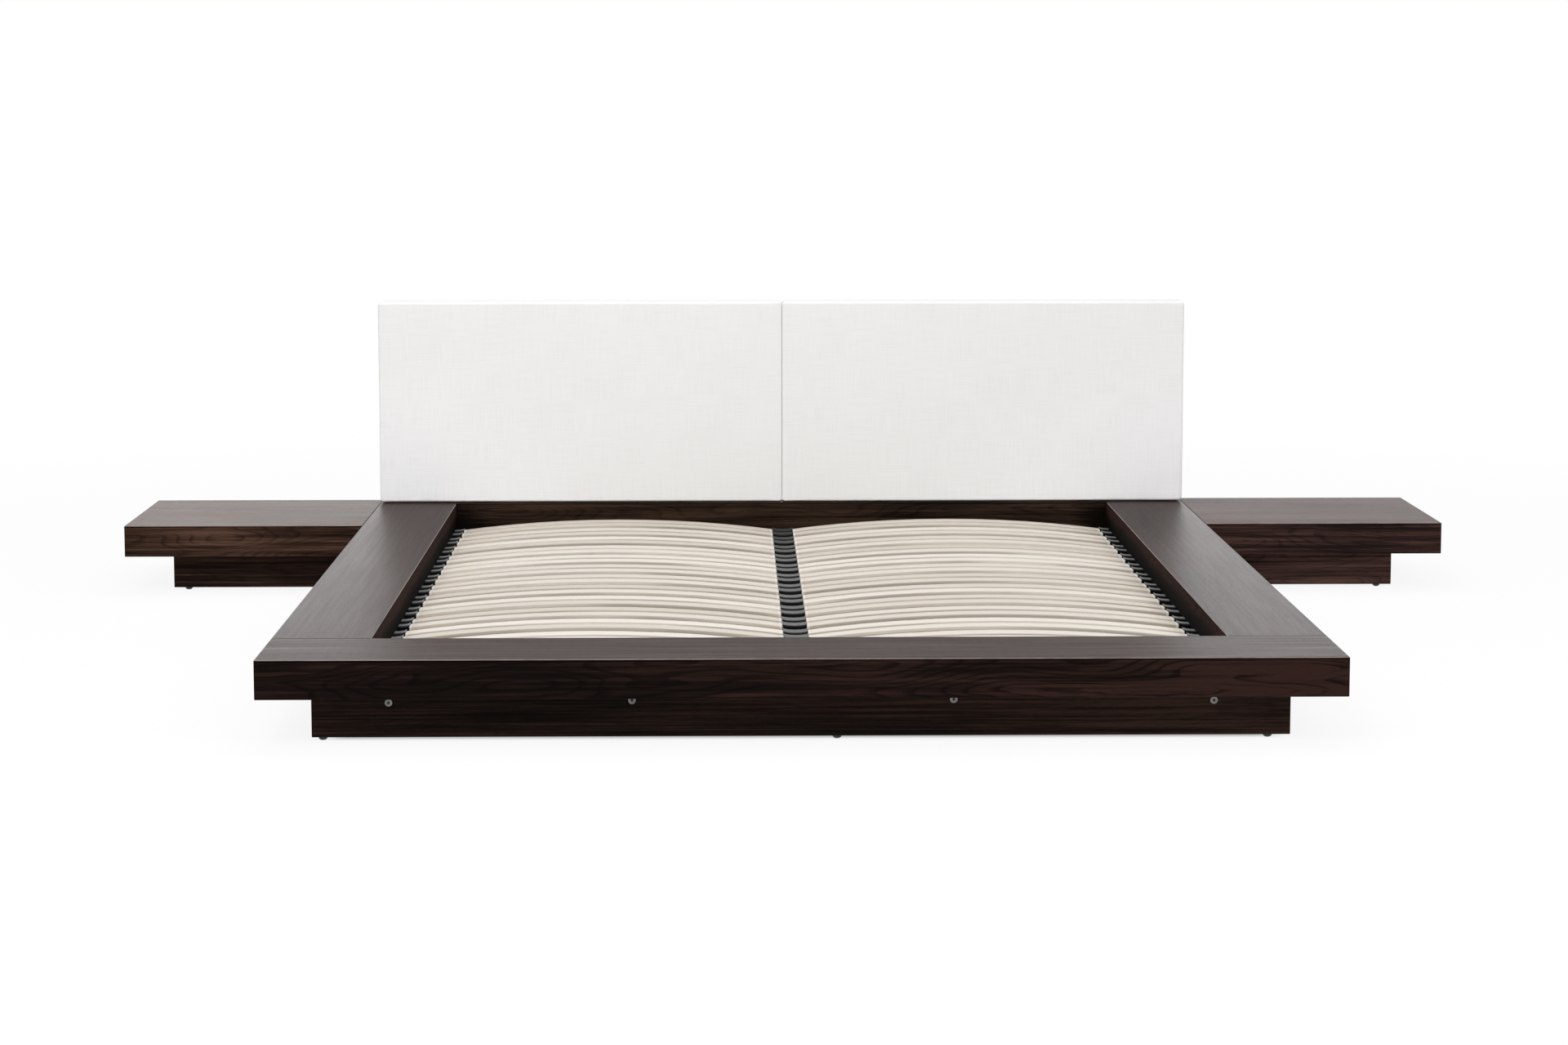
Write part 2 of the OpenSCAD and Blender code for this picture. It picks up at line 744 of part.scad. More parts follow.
module headboard_foam(side) {
    color(birch) from_foot() at_panel(side)
        translate([-frame_w / 2, foam_y, -frame_h / 2]) cube([frame_w, foam_t, frame_h]);
}

// Frame of a panel: a thin board in front, and battens behind it at the edges,
// across the middle and where the straps are bolted
module headboard_frame(side) {
    uprights = [for (i = [-2 : 2]) abs(i) == 2 ? sign(i) * (frame_w - batten_w) / 2 : i * panel_w / 4];
    window_h = (frame_h - 3 * batten_w) / 2;
    color(plywood) from_foot() difference() {
        at_panel(side) difference() {
            translate([-frame_w / 2, frame_y, -frame_h / 2]) cube([frame_w, frame_t, frame_h]);
            for (i = [0 : 3], z = [-1, 1]) {
                x0 = uprights[i] + batten_w / 2;
                translate([x0, frame_y + carrier_t, z * (window_h + batten_w) / 2 - window_h / 2])
                    cube([uprights[i + 1] - batten_w / 2 - x0, frame_t, window_h]);
            }
        }
        strap_bolt_shanks(bore_fit);
    }
}

// The dust cover, which fills the opening inside the hem
module panel_back(extra = 0) {
    w = panel_w - 2 * hem_w;
    h = board_h - 2 * hem_w;
    translate([-w / 2, back_y, -h / 2]) cube([w, back_t + extra, h]);
}

module headboard_back(side) {
    color(holder_black) from_foot() difference() {
        at_panel(side) panel_back();
        strap_bolt_shanks(bore_fit);
    }
}

// A strap with round ends and four bolt holes, flat against the back
module headboard_straps() {
    color(steel) from_foot() for (x = straps_x) translate([x, platform_len + strap_t, 0]) rotate([90, 0, 0])
        linear_extrude(height = strap_t) difference() {
            translate([0, (strap_z + strap_top) / 2]) rounded_rect(strap_w, strap_top - strap_z, strap_w / 2 - cut);
            for (z = strap_holes) translate([0, z]) circle(d = bolt_d + 2 * bore_fit);
        }
}

module strap_bolt_shanks(fit) {
    for (x = straps_x, z = strap_holes) translate([x, platform_len - strap_grip - fit, z]) rotate([-90, 0, 0])
        cylinder(d = bolt_d + 2 * fit, h = strap_grip + strap_t + 2 * fit);
}

// A bolt head with a round edge and a hexagon socket, standing on the plane z = 0
module socket_head(d, h) {
    edge = h / 3;
    difference() {
        rotate_extrude() {
            square([d / 2, h - edge]);
            square([d / 2 - edge, h]);
            translate([d / 2 - edge, h - edge]) intersection() {
                circle(edge);
                square(edge);
            }
        }
        translate([0, 0, h - min(socket_depth, h - 1)])
            cylinder(d = socket_w / cos(30), h = h, $fn = 6);
    }
}

module strap_bolts() {
    color(steel) from_foot() {
        strap_bolt_shanks(0);
        for (x = straps_x, z = strap_holes) translate([x, platform_len + strap_t, z]) rotate([-90, 0, 0])
            socket_head(strap_head_d, strap_head_h);
    }
}

module headboard_spacers() {
    color(holder_black) from_foot() for (x = straps_x)
        translate([x, head_y + board_t / 2, platform_top]) cylinder(d = spacer_d, h = shadow_gap);
}

// Bolts come in through the front and the back of the plinth; their shanks point along +Y and -Y
module at_bolts() {
    for (b = bolts) {
        translate([b[0], plinth_inset, b[1]]) rotate([-90, 0, 0]) children();
        translate([b[0], plinth_back + plinth_t, b[1]]) rotate([90, 0, 0]) children();
    }
}

module bolt_shanks(fit) {
    at_bolts() translate([0, 0, -fit]) cylinder(d = bolt_d + 2 * fit, h = bolt_len + 2 * fit);
}

module plinth_bolts() {
    color(steel) from_foot() {
        bolt_shanks(0);
        at_bolts() mirror([0, 0, 1]) socket_head(bolt_head_d, bolt_head_h);
    }
}

// Barrel nuts stand upright in the bearers and lie across in the stringers
module at_nuts(upright) {
    for (b = bolts, y = [support_y0 + nut_back, plinth_back - nut_back]) if (b[2] == upright)
        translate([b[0], y, b[1]]) rotate(upright ? [0, 0, 0] : [0, 90, 0]) children();
}

module barrel_nuts() {
    color(steel) from_foot() for (upright = [true, false]) at_nuts(upright) difference() {
        cylinder(d = nut_d, h = nut_len, center = true);
        rotate([90, 0, 0]) cylinder(d = bolt_d + 2 * bore_fit, h = 2 * nut_d, center = true);
    }
}

// Nut bores are open below in a bearer and on the outer face in a stringer
module nut_bores() {
    deep = nut_len / 2 + bore_fit;
    at_nuts(true) translate([0, 0, -bearer_h]) cylinder(d = nut_d + 2 * bore_fit, h = bearer_h + deep);
    at_nuts(false) translate([0, 0, -deep]) cylinder(d = nut_d + 2 * bore_fit, h = stringer_t + deep);
}

// An angle bracket: its upper leg along +X under a rail, the other down a board's face
module angle_bracket() {
    bend = 2 * bracket_t;
    difference() {
        translate([0, bracket_w / 2, 0]) rotate([90, 0, 0]) linear_extrude(height = bracket_w) {
            translate([bend, -bracket_t]) square([bracket_leg - bend, bracket_t]);
            translate([0, -bracket_leg]) square([bracket_t, bracket_leg - bend]);
            translate([bend, -bend]) intersection() {
                difference() {
                    circle(bend);
                    circle(bend - bracket_t);
                }
                translate([-bend, 0]) square(bend);
            }
        }
        bracket_screws() wood_screw(bore_fit);
    }
}

// The two screws of a bracket, each drawn along +Z from the bracket's face
module bracket_screws() {
    translate([screw_out, 0, -bracket_t]) children();
    translate([bracket_t, 0, -screw_out]) rotate([0, -90, 0]) children();
}

module wood_screw(fit = 0) {
    cylinder(d = screw_d + 2 * fit, h = bracket_t + screw_grip + fit);
}

// A pan head: a flat-faced button with a round edge
module screw_head() {
    edge = screw_head_h / 2;
    mirror([0, 0, 1]) rotate_extrude() {
        square([screw_head_d / 2, screw_head_h - edge]);
        square([screw_head_d / 2 - edge, screw_head_h]);
        translate([screw_head_d / 2 - edge, screw_head_h - edge]) intersection() {
            circle(edge);
            square(edge);
        }
    }
}

module at_brackets() {
    for (b = brackets) translate([b.x, b.y, plinth_top]) rotate([0, 0, b.z]) children();
}

module at_plate_screws() {
    for (p = plates, s = [-1, 1]) translate([p.x + s * plate_screw, p.y, plinth_top - bracket_t]) children();
}

module screws(fit) {
    at_brackets() bracket_screws() wood_screw(fit);
    at_plate_screws() wood_screw(fit);
}

module wood_screws() {
    color(steel) from_foot() {
        screws(0);
        at_brackets() bracket_screws() screw_head();
        at_plate_screws() screw_head();
    }
}

module angle_brackets() {
    color(steel) from_foot() at_brackets() angle_bracket();
}

// Flat plates under the joint between a side rail and its bedside top
module joining_plates() {
    color(steel) from_foot() difference() {
        for (p = plates) translate([p.x, p.y, plinth_top - bracket_t])
            linear_extrude(height = bracket_t) rounded_rect(plate_len, bracket_w, bracket_t);
        at_plate_screws() wood_screw(bore_fit);
    }
}

module glide_nails(fit) {
    for (g = glides) translate([g.x, g.y, glide_h - cut])
        cylinder(d = nail_d + 2 * fit, h = nail_len + cut + fit);
}

// A domed glide with a small flat where it stands, and its nail
module glides() {
    flat = glide_d / 2 - glide_h;
    color(holder_black) from_foot() {
        for (g = glides) translate([g.x, g.y, 0]) rotate_extrude() {
            square([flat, glide_h]);
            translate([flat, glide_h]) intersection() {
                circle(glide_h);
                translate([0, -glide_h]) square(glide_h);
            }
        }
        glide_nails(0);
    }
}

foot_rail();
foot_rail_underside();
side_rail(-1);  // side_rail_left
side_rail(1);  // side_rail_right
side_rail_underside(-1);  // side_rail_left_underside
side_rail_underside(1);  // side_rail_right_underside
head_rail();
rail_dowels();
shelf_top(-1);  // shelf_left_top
shelf_top(1);  // shelf_right_top
shelf_underside(-1);  // shelf_left_underside
shelf_underside(1);  // shelf_right_underside
shelf_plinth_across(-1, shelf_plinth_y);  // shelf_left_plinth_front
shelf_plinth_across(1, shelf_plinth_y);  // shelf_right_plinth_front
shelf_plinth_side(-1);  // shelf_left_plinth_side
shelf_plinth_side(1);  // shelf_right_plinth_side
shelf_plinth_across(-1, plinth_back);  // shelf_left_plinth_back
shelf_plinth_across(1, plinth_back);  // shelf_right_plinth_back
plinth_front();
plinth_back_board();
plinth_side(-1);  // plinth_left
plinth_side(1);  // plinth_right
corner_blocks();
slat_bearer(-1);  // slat_bearer_left
slat_bearer(1);  // slat_bearer_right
centre_bearer();
stringer(left_stringer);  // stringer_left
stringer(right_stringer);  // stringer_right
cross_bars();
centre_legs();
slats(-1);  // slats_left
slats(1);  // slats_right
side_holders(-1);  // slat_holders_left
side_holders(1);  // slat_holders_right
slat_holders_centre();
headboard_cover(-1);  // headboard_left_cover
headboard_cover(1);  // headboard_right_cover
headboard_foam(-1);  // headboard_left_foam
headboard_foam(1);  // headboard_right_foam
headboard_frame(-1);  // headboard_left_frame
headboard_frame(1);  // headboard_right_frame
headboard_back(-1);  // headboard_left_back
headboard_back(1);  // headboard_right_back
headboard_straps();
strap_bolts();
headboard_spacers();
plinth_bolts();
barrel_nuts();
angle_brackets();
joining_plates();
wood_screws();
glides();
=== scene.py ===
import math

import bpy
import numpy as np
from mathutils import Matrix, Vector


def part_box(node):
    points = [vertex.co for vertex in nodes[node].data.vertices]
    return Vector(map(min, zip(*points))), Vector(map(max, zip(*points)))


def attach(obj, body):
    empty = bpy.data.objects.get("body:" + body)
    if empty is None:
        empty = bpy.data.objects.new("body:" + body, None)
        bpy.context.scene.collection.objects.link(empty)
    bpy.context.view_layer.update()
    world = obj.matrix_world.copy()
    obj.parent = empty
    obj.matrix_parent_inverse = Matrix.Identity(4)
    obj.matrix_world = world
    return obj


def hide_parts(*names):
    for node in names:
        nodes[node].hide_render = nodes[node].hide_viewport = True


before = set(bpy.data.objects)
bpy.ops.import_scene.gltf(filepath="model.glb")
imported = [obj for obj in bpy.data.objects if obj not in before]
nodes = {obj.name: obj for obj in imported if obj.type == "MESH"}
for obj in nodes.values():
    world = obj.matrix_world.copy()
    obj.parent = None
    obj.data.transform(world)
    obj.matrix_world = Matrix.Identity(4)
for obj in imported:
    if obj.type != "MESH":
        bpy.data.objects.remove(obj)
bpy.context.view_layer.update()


def corners_of(node):
    """The lowest and the highest corner of a CAD node, to a hundredth of a millimetre."""
    return [[round(value, 5) for value in corner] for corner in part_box(node)]


# Places in metres, from the CAD. X points to the right, Y from the foot to the head, and Z upwards.
# The platform's half width, the joint behind the foot rail, and the height of the upper faces
PLATFORM_X, JOINT_Y, TOP = corners_of("foot_rail")[1]
# The walls of the recess for the mattress, and the foot end of the shelves
RECESS_X = corners_of("side_rail_right")[0][0]
SHELF_Y = corners_of("shelf_right_top")[0][1]
# The headboard's front, lower edge, back and height
(_, HEAD_Y, PANEL_Z), (_, BACK_Y, panel_top) = corners_of("headboard_right_cover")
PANEL_H = panel_top - PANEL_Z

# Slats, which lie in pairs and are bent about an axis far below them
PAIRS = 13
IN_PAIR = 0.066  # from slat to slat in a pair
SLAT_W = 0.038
SLAT_T = 0.008
SLAT_RISE = 0.0256  # how much higher the middle is than the ends
(slat_x0, slat_y0, _), (slat_x1, slat_y1, slat_top) = corners_of("slats_right")
SLAT_MID = (slat_x0 + slat_x1) / 2
SLAT_LEN = slat_x1 - slat_x0
SLAT_R = (SLAT_LEN ** 2 / 4 + SLAT_RISE ** 2) / (2 * SLAT_RISE)  # of the lower face
BOW_Z = slat_top - SLAT_T - SLAT_R  # the axis
PAIR_PITCH = (slat_y1 - slat_y0 - IN_PAIR - SLAT_W) / (PAIRS - 1)
FIRST_PAIR = slat_y0 + (IN_PAIR + SLAT_W) / 2

# Covers of the headboard
SEAM = 0.0006  # gap between the two
CROWN = 0.002  # how far a filled face stands proud of its edges
CORNER_R = 0.008  # corners of the outline
EDGE_R = 0.0055  # front edge
SEAM_EDGE_R = 0.003  # front edge at the gap
SEAM_REACH = 0.03  # how far from the gap the edge takes its full radius
HEM = 0.025  # border on the back
RIPPLE = 0.0004  # height of the ripple along the edges
RIPPLE_REACH = 0.03  # how soon it fades on the face
RIPPLE_DEPTH = 0.02  # and down the sides
COVER_T = 0.0014  # thickness of the cloth
THREAD = 0.0011  # from thread to thread

# Their grid lines: close ones near the edges, even ones across and up the face and down the sides
CLOSE = 0.012
CLOSE_LINES = 9
LINES_ACROSS = 84
LINES_UP = 42
SIDE_START = 0.02
SIDE_LINES = 10

# The cloth simulation that fills the faces
PRESSURE = 4.0
CLOTH_FRAMES = 20

# Dust cloths on the back
DUST_T = 0.0005
DUST_ACROSS = 151  # grid lines
DUST_UP = 71
SAG = 0.0009  # how far the cloth sags over the open frame
SAG_REACH = 0.06  # how far from the edge it sags fully
PUCKER = 0.0006  # how far it dips between two staples
PUCKER_REACH = 0.02

# Staples round the dust cloths
STAPLE_PITCH = 0.058
STAPLE_INSET = 0.006
STAPLE_REACH = 0.0055  # half the length
WIRE_R = 0.00045
WIRE_SIDES = 6

TINY = 1e-9  # keeps divisions from zero


def tint(red, green, blue):
    """A colour written as 0 to 255 is turned into the linear values that shaders use."""
    share = np.array([red, green, blue]) / 255
    return tuple(np.where(share < 0.04045, share / 12.92, ((share + 0.055) / 1.055) ** 2.4)) + (1.0,)


class Number:
    """One value that changes over a surface. Arithmetic on it adds the Math nodes that work it out."""

    def __init__(self, graph, socket):
        self.graph, self.socket = graph, socket

    def __add__(self, other):
        return self.graph.maths("ADD", self, other)

    def __sub__(self, other):
        return self.graph.maths("SUBTRACT", self, other)

    def __rsub__(self, other):
        return self.graph.maths("SUBTRACT", other, self)

    def __mul__(self, other):
        return self.graph.maths("MULTIPLY", self, other)

    def __truediv__(self, other):
        return self.graph.maths("DIVIDE", self, other)

    def __abs__(self):
        return self.graph.maths("ABSOLUTE", self)


class Graph:
    """The nodes of one material or of the room."""

    def __init__(self, tree):
        self.tree = tree

    def node(self, kind, settings=None, sockets=None):
        """Adds one node: its settings first, then the value or link of each socket."""
        made = self.tree.nodes.new(kind)
        for name, value in (settings or {}).items():
            if name == "stops":
                ramp = made.color_ramp
                while len(ramp.elements) < len(value):
                    ramp.elements.new(1.0)
                for element, (at, colour) in zip(ramp.elements, value):
                    element.position, element.color = at, colour
            else:
                setattr(made, name, value)
        for name, value in (sockets or {}).items():
            socket = made.inputs[name]
            if isinstance(value, Number):
                self.tree.links.new(value.socket, socket)
            elif isinstance(value, bpy.types.NodeSocket):
                self.tree.links.new(value, socket)
            else:
                socket.default_value = value
        return made

    def maths(self, operation, *values):
        made = self.node("ShaderNodeMath", {"operation": operation}, dict(enumerate(values)))
        return Number(self, made.outputs[0])

    def split(self, vector):
        made = self.node("ShaderNodeSeparateXYZ", sockets={0: vector})
        return [Number(self, socket) for socket in made.outputs]

    def join(self, *parts):
        return self.node("ShaderNodeCombineXYZ", sockets=dict(enumerate(parts))).outputs[0]

    def coordinates(self, output):
        """X, Y and Z of a point: Object is its place on the object, and Normal the way its face looks."""
        return self.split(self.node("ShaderNodeTexCoord").outputs[output])

    def noise(self, *place, detail=2.0, roughness=0.5):
        made = self.node("ShaderNodeTexNoise", sockets={
            "Vector": self.join(*place), "Scale": 1.0, "Detail": detail, "Roughness": roughness})
        return Number(self, made.outputs["Fac"])

    def between(self, value, low, high, start=0.0, end=1.0):
        """A smooth step from start to end while value goes from low to high."""
        made = self.node("ShaderNodeMapRange", {"interpolation_type": "SMOOTHSTEP"}, {
            "Value": value, "From Min": low, "From Max": high, "To Min": start, "To Max": end})
        return Number(self, made.outputs["Result"])

    def below(self, value, low, high):
        """One up to low and zero from high on, with a smooth step between them."""
        return self.between(value, low, high, 1.0, 0.0)

    def band(self, value, low, high, soft):
        """One where value lies between low and high, zero elsewhere, with soft borders."""
        return self.between(value, low - soft, low) * self.below(value, high, high + soft)

    def ramp(self, value, *stops):
        stops = [(at, tint(*colour)) for at, colour in stops]
        return self.node("ShaderNodeValToRGB", {"stops": stops}, {0: value}).outputs["Color"]

    def mix(self, factor, first, second):
        return self.node("ShaderNodeMix", {"data_type": "RGBA"}, {
            "Factor": factor, 6: first, 7: second}).outputs[2]


class Finish(Graph):
    """The material of one finish. The values in plain are the same all over it."""

    def __init__(self, name, **plain):
        self.material = bpy.data.materials.new(name)
        self.material.use_nodes = True
        super().__init__(self.material.node_tree)
        self.shader = self.tree.nodes["Principled BSDF"]
        for socket, value in plain.items():
            self.shader.inputs[socket.replace("_", " ")].default_value = value
        self.x, self.y, self.z = self.coordinates("Object")

    def set(self, colour, roughness, height, depth, strength):
        """Feeds the shader with its colour, its roughness and a bump of the given depth."""
        bump = self.node("ShaderNodeBump", sockets={
            "Strength": strength, "Distance": depth, "Height": height})
        self.tree.links.new(colour, self.shader.inputs["Base Color"])
        self.tree.links.new(roughness.socket, self.shader.inputs["Roughness"])
        self.tree.links.new(bump.outputs["Normal"], self.shader.inputs["Normal"])
        return self.material


def walnut(name, along, tones, figure=0.7, seed=0.0, drift=0.0, top=0.0, streaks=1.4, fine=120.0,
           satin=0.40, relief=0.4, inner=False, corners=0.0):
    """Satin walnut veneer in a dark, a middle and a pale tone, with its grain along X or Y. The growth
    rings are the contour lines of a noise field drawn out along the board; between them run fine streaks
    and short dark pores, and the wood is paler inside a flame. A dark line runs just below the upper
    edge. The planed edge itself carries a painted highlight, except under the headboard, and is dark
    where two boards meet.

    figure is how bold the rings are, and seed picks another board. drift makes the right-hand end paler
    and its figure bolder, and top paints light on the upper faces, which it makes paler. streaks is how
    strong the streaks are, and fine how many there are in a metre. satin is the roughness, and relief how
    much the streaks stand out in the gloss. inner paints shade on the wall of the recess, darker towards
    its foot and paler near its top, and corners paints a shadow on its head wall towards both ends."""
    f = Finish(name, Specular_IOR_Level=0.03)
    run, across = (f.x, f.y) if along == "x" else (f.y, f.x)

    def grain(length, width, shift=seed, **fineness):
        """Noise that changes length times in a metre along the board and width times across it."""
        return f.noise(run * length + shift, across * width, f.z * width, **fineness)

    wobble = grain(14.0, 55.0)
    field = f.noise(run * 2.1 + seed, across * 15.0 + seed, f.z * 15.0 + wobble * 0.15, detail=1.0,
                    roughness=0.35)
    ring = f.maths("FRACT", field * 22.0 + wobble * 0.6)
    late = f.between(ring, 0.55, 0.92) * f.below(ring, 0.93, 1.0)
    flame = f.between(field, 0.56, 0.70) + f.below(field, 0.30, 0.42)
    cloud = grain(2.0, 9.0)
    streak = grain(2.6, fine, detail=3.0, roughness=0.62)
    fibre = grain(30.0, 1100.0, shift=0.0, roughness=0.6)
    pores = f.between(grain(55.0, 1500.0, detail=1.0), 0.60, 0.72)
    upper = f.between(f.z, TOP - 0.0003, TOP - 0.0001)
    right = f.between(f.x, -0.1, 1.0)
    bold = right * drift + figure if drift else figure
    tone = (cloud - 0.5) * 0.9 + (streak - 0.5) * streaks + (fibre - 0.5) * 0.35 + 0.44
    # Painted light: top makes the upper faces paler, where the light falls on them
    tone = tone + flame * bold * 0.20 - late * bold * 0.36 + right * drift + upper * top
    rough = f.between(streak, 0.3, 0.7, satin - 0.03 * relief, satin + 0.06 * relief) + pores * 0.1
    # Painted shade and light on the wall of the recess: darker towards its foot, where the holders shade it,
    # and paler near its top. Its roughness is raised as well
    if inner:
        wall = f.band(abs(f.x), RECESS_X - 0.001, RECESS_X + 0.0006, 0.0004)
        wall = wall * f.below(f.z, TOP - 0.002, TOP - 0.001)
        tone = tone + wall * f.between(f.z, TOP - 0.052, TOP - 0.012, -0.5, 0.45)
        rough = rough + wall * 0.4
    # Painted shadow cast by the side rails on the head wall of the recess, strongest near both of its ends
    # and low down
    if corners:
        wall = f.below(f.y, HEAD_Y + 0.001, HEAD_Y + 0.002)
        wall = wall * f.between(f.z, TOP - 0.048, TOP - 0.002, 1.0, 0.5)
        tone = tone - wall * f.between(abs(f.x), RECESS_X - 0.09, RECESS_X - 0.005) * corners
    colour = f.ramp(tone, (0.12, tones[0]), (0.45, tones[1]), (0.85, tones[2]))
    colour = f.mix(pores * 0.4, colour, tint(*tones[0]))
    dark_edge_line = f.band(f.z, TOP - 0.0036, TOP - 0.0015, 0.0003)
    edge = f.band(f.z, TOP - 0.0011, TOP - 0.0002, 0.0001)
    # Painted highlight along the planed edge, streaked by the fibres and left out under the headboard
    painted_edge_highlight = edge * f.between(fibre, 0.30, 0.55, 0.5, 0.9) * f.below(f.y, HEAD_Y - 0.0425, HEAD_Y - 0.0125)
    beside_shelf = f.band(abs(f.x), PLATFORM_X - 0.0016, PLATFORM_X + 0.0016, 0.0002)
    joint = f.band(f.y, JOINT_Y - 0.0016, JOINT_Y + 0.0016, 0.0002)
    joint = joint + beside_shelf * f.between(f.y, SHELF_Y - 0.0005, SHELF_Y + 0.0005)
    colour = f.mix(dark_edge_line * 0.85, colour, tint(5, 3, 3))
    colour = f.mix(painted_edge_highlight, colour, tint(152, 138, 130))
    colour = f.mix(edge * joint, colour, tint(16, 11, 9))
    return f.set(colour, rough, fibre + streak * relief - pores * 0.9 - late * 0.4, 0.00012, 0.5)


def linen():
    """Plain weave: two crossing sets of threads, some thicker than the others. On the back, the hem has a
    mitred fold at each corner of a panel, with painted shade along it. The colour is a little greyer
    towards the right, across both panels, and a painted highlight makes it paler along its lower edge."""
    f = Finish("linen_cover", Specular_IOR_Level=0.2, Sheen_Weight=0.1, Sheen_Roughness=0.5)
    u, v, _ = f.split(f.node("ShaderNodeUVMap", {"uv_map": "weave"}).outputs["UV"])
    turns = 2 * math.pi / THREAD
    drift = f.noise(u * 55.0, v * 55.0, 0.0) * 2.4
    weave = f.maths("SINE", v * turns + drift) * f.maths("SINE", u * turns + drift) * 0.5 + 0.5
    slub_across = f.noise(u * 12.0, v * 480.0, 3.0, roughness=0.65)
    slub_up = f.noise(u * 480.0, v * 12.0, 9.0, roughness=0.65)
    thick = f.between(slub_across, 0.56, 0.74) + f.between(slub_up, 0.58, 0.76) * 0.8
    mottle = f.noise(u * 7.0, v * 7.0, 0.0, detail=3.0)
    shade = (slub_across + slub_up - 1.0) * 0.6 + weave * 0.10 + (mottle - 0.5) * 0.2 + 0.45
    colour = f.ramp(shade, (0.15, (231, 231, 230)), (0.5, (239, 239, 239)), (0.85, (244, 244, 244)))
    # The colour greys a little towards the right, across both panels
    colour = f.mix(f.between(f.x, -PLATFORM_X, PLATFORM_X, 0.0, 0.055), colour, tint(120, 119, 118))
    back = f.between(f.y, BACK_Y - 0.0006, BACK_Y - 0.0002)
    from_side = f.maths("PINGPONG", f.x, PLATFORM_X / 2)
    from_end = f.maths("PINGPONG", f.z - PANEL_Z, PANEL_H / 2)
    fold = back * f.band(from_side - from_end, -0.0004, 0.0004, 0.0003)
    # Painted shade along the fold, which the bump draws as a groove
    colour = f.mix(fold * 0.6, colour, tint(140, 137, 132))
    # Painted highlight along the lower edge, where the rounded cloth turns away from the light
    lower_edge = f.below(f.z, PANEL_Z + 0.002, PANEL_Z + 0.006)
    colour = f.mix(lower_edge * 0.8, colour, tint(254, 253, 251))
    rough = f.between(shade, 0.0, 1.0, 0.95, 0.82)
    return f.set(colour, rough, weave * 0.5 + thick * 0.5 + shade * 0.5 - fold * 2.0, 0.0003, 0.32)


def birch():
    """Bent slats: five layers of pale veneer with glue lines on the long edges, a shade of its own for
    each slat, and paler ends. The layers are the distance from the axis that the slat is bent
    about. The edges that face the foot carry painted shade in stretches, below their upper layers, where
    the slat in front shades them."""
    f = Finish("birch_slat", Specular_IOR_Level=0.3)
    side = abs(f.x) - SLAT_MID
    rise = f.z - BOW_Z
    layer = (f.maths("SQRT", side * side + rise * rise) - SLAT_R) / SLAT_T
    ply = f.maths("PINGPONG", layer * 5.0, 0.5)
    glue = f.below(ply, 0.0, 0.07) * f.band(layer, 0.06, 0.94, 0.04)
    number = f.maths("FLOOR", (f.y - FIRST_PAIR) * (2 / PAIR_PITCH))
    each = Number(f, f.node("ShaderNodeTexWhiteNoise", {"noise_dimensions": "2D"}, {
        "Vector": f.join(number, f.maths("SIGN", f.x))}).outputs["Value"])
    grain = f.noise(f.x * 9.0 + each * 7.0, f.y * 420.0, layer * 2.0, detail=3.0, roughness=0.6)
    flame = f.noise(f.x * 4.0 + each * 9.0, f.y * 60.0, 0.0)
    fleck = f.between(f.noise(f.x * 9.0 + each * 5.0, f.y * 300.0, 4.0), 0.71, 0.78)
    shade = (grain - 0.5) * 0.28 + (flame - 0.5) * 0.4 + (each - 0.5) * 0.7 + 0.52
    colour = f.ramp(shade, (0.1, (196, 187, 175)), (0.5, (212, 204, 193)), (0.9, (225, 218, 208)))
    colour = f.mix(fleck * 0.35, colour, tint(160, 146, 130))
    colour = f.mix(glue * 0.28, colour, tint(150, 130, 108))
    # Painted shade on the edges that face the foot, below their upper layers, in stretches
    foot_side = f.below(f.coordinates("Normal")[1], -0.95, -0.6)
    stretch = f.between(f.noise(f.x * 2.4, number * 5.3, 2.0), 0.42, 0.62)
    painted_gap_shade = foot_side * stretch * f.between(layer, 0.5, 0.85, 1.0, 0.15)
    colour = f.mix(painted_gap_shade * 0.42, colour, tint(98, 86, 74))
    # The slats are paler in their last two centimetres
    end = f.between(abs(side), SLAT_LEN / 2 - 0.024, SLAT_LEN / 2 - 0.019)
    colour = f.mix(end * 0.7, colour, tint(240, 237, 230))
    return f.set(colour, f.between(grain, 0.2, 0.8, 0.45, 0.58), grain, 0.00015, 0.35)


def plywood():
    """Structural birch plywood: a pale face and darker layers on the edges."""
    f = Finish("birch_plywood", Specular_IOR_Level=0.3)
    ply = f.maths("PINGPONG", f.z * 700.0, 0.5)
    grain = f.noise(f.x * 60.0, f.y * 6.0, f.z * 60.0, detail=4.0, roughness=0.6)
    cloud = f.noise(f.x * 8.0, f.y * 3.0, f.z * 8.0)
    shade = (grain - 0.5) * 0.8 + (cloud - 0.5) * 0.6 + 0.5
    colour = f.ramp(shade, (0.1, (164, 142, 114)), (0.5, (190, 170, 143)), (0.9, (208, 190, 165)))
    colour = f.mix(f.between(ply, 0.04, 0.16, 0.35, 0.0), colour, tint(120, 92, 66))
    return f.set(colour, f.between(grain, 0.2, 0.8, 0.5, 0.66), grain, 0.0002, 0.4)


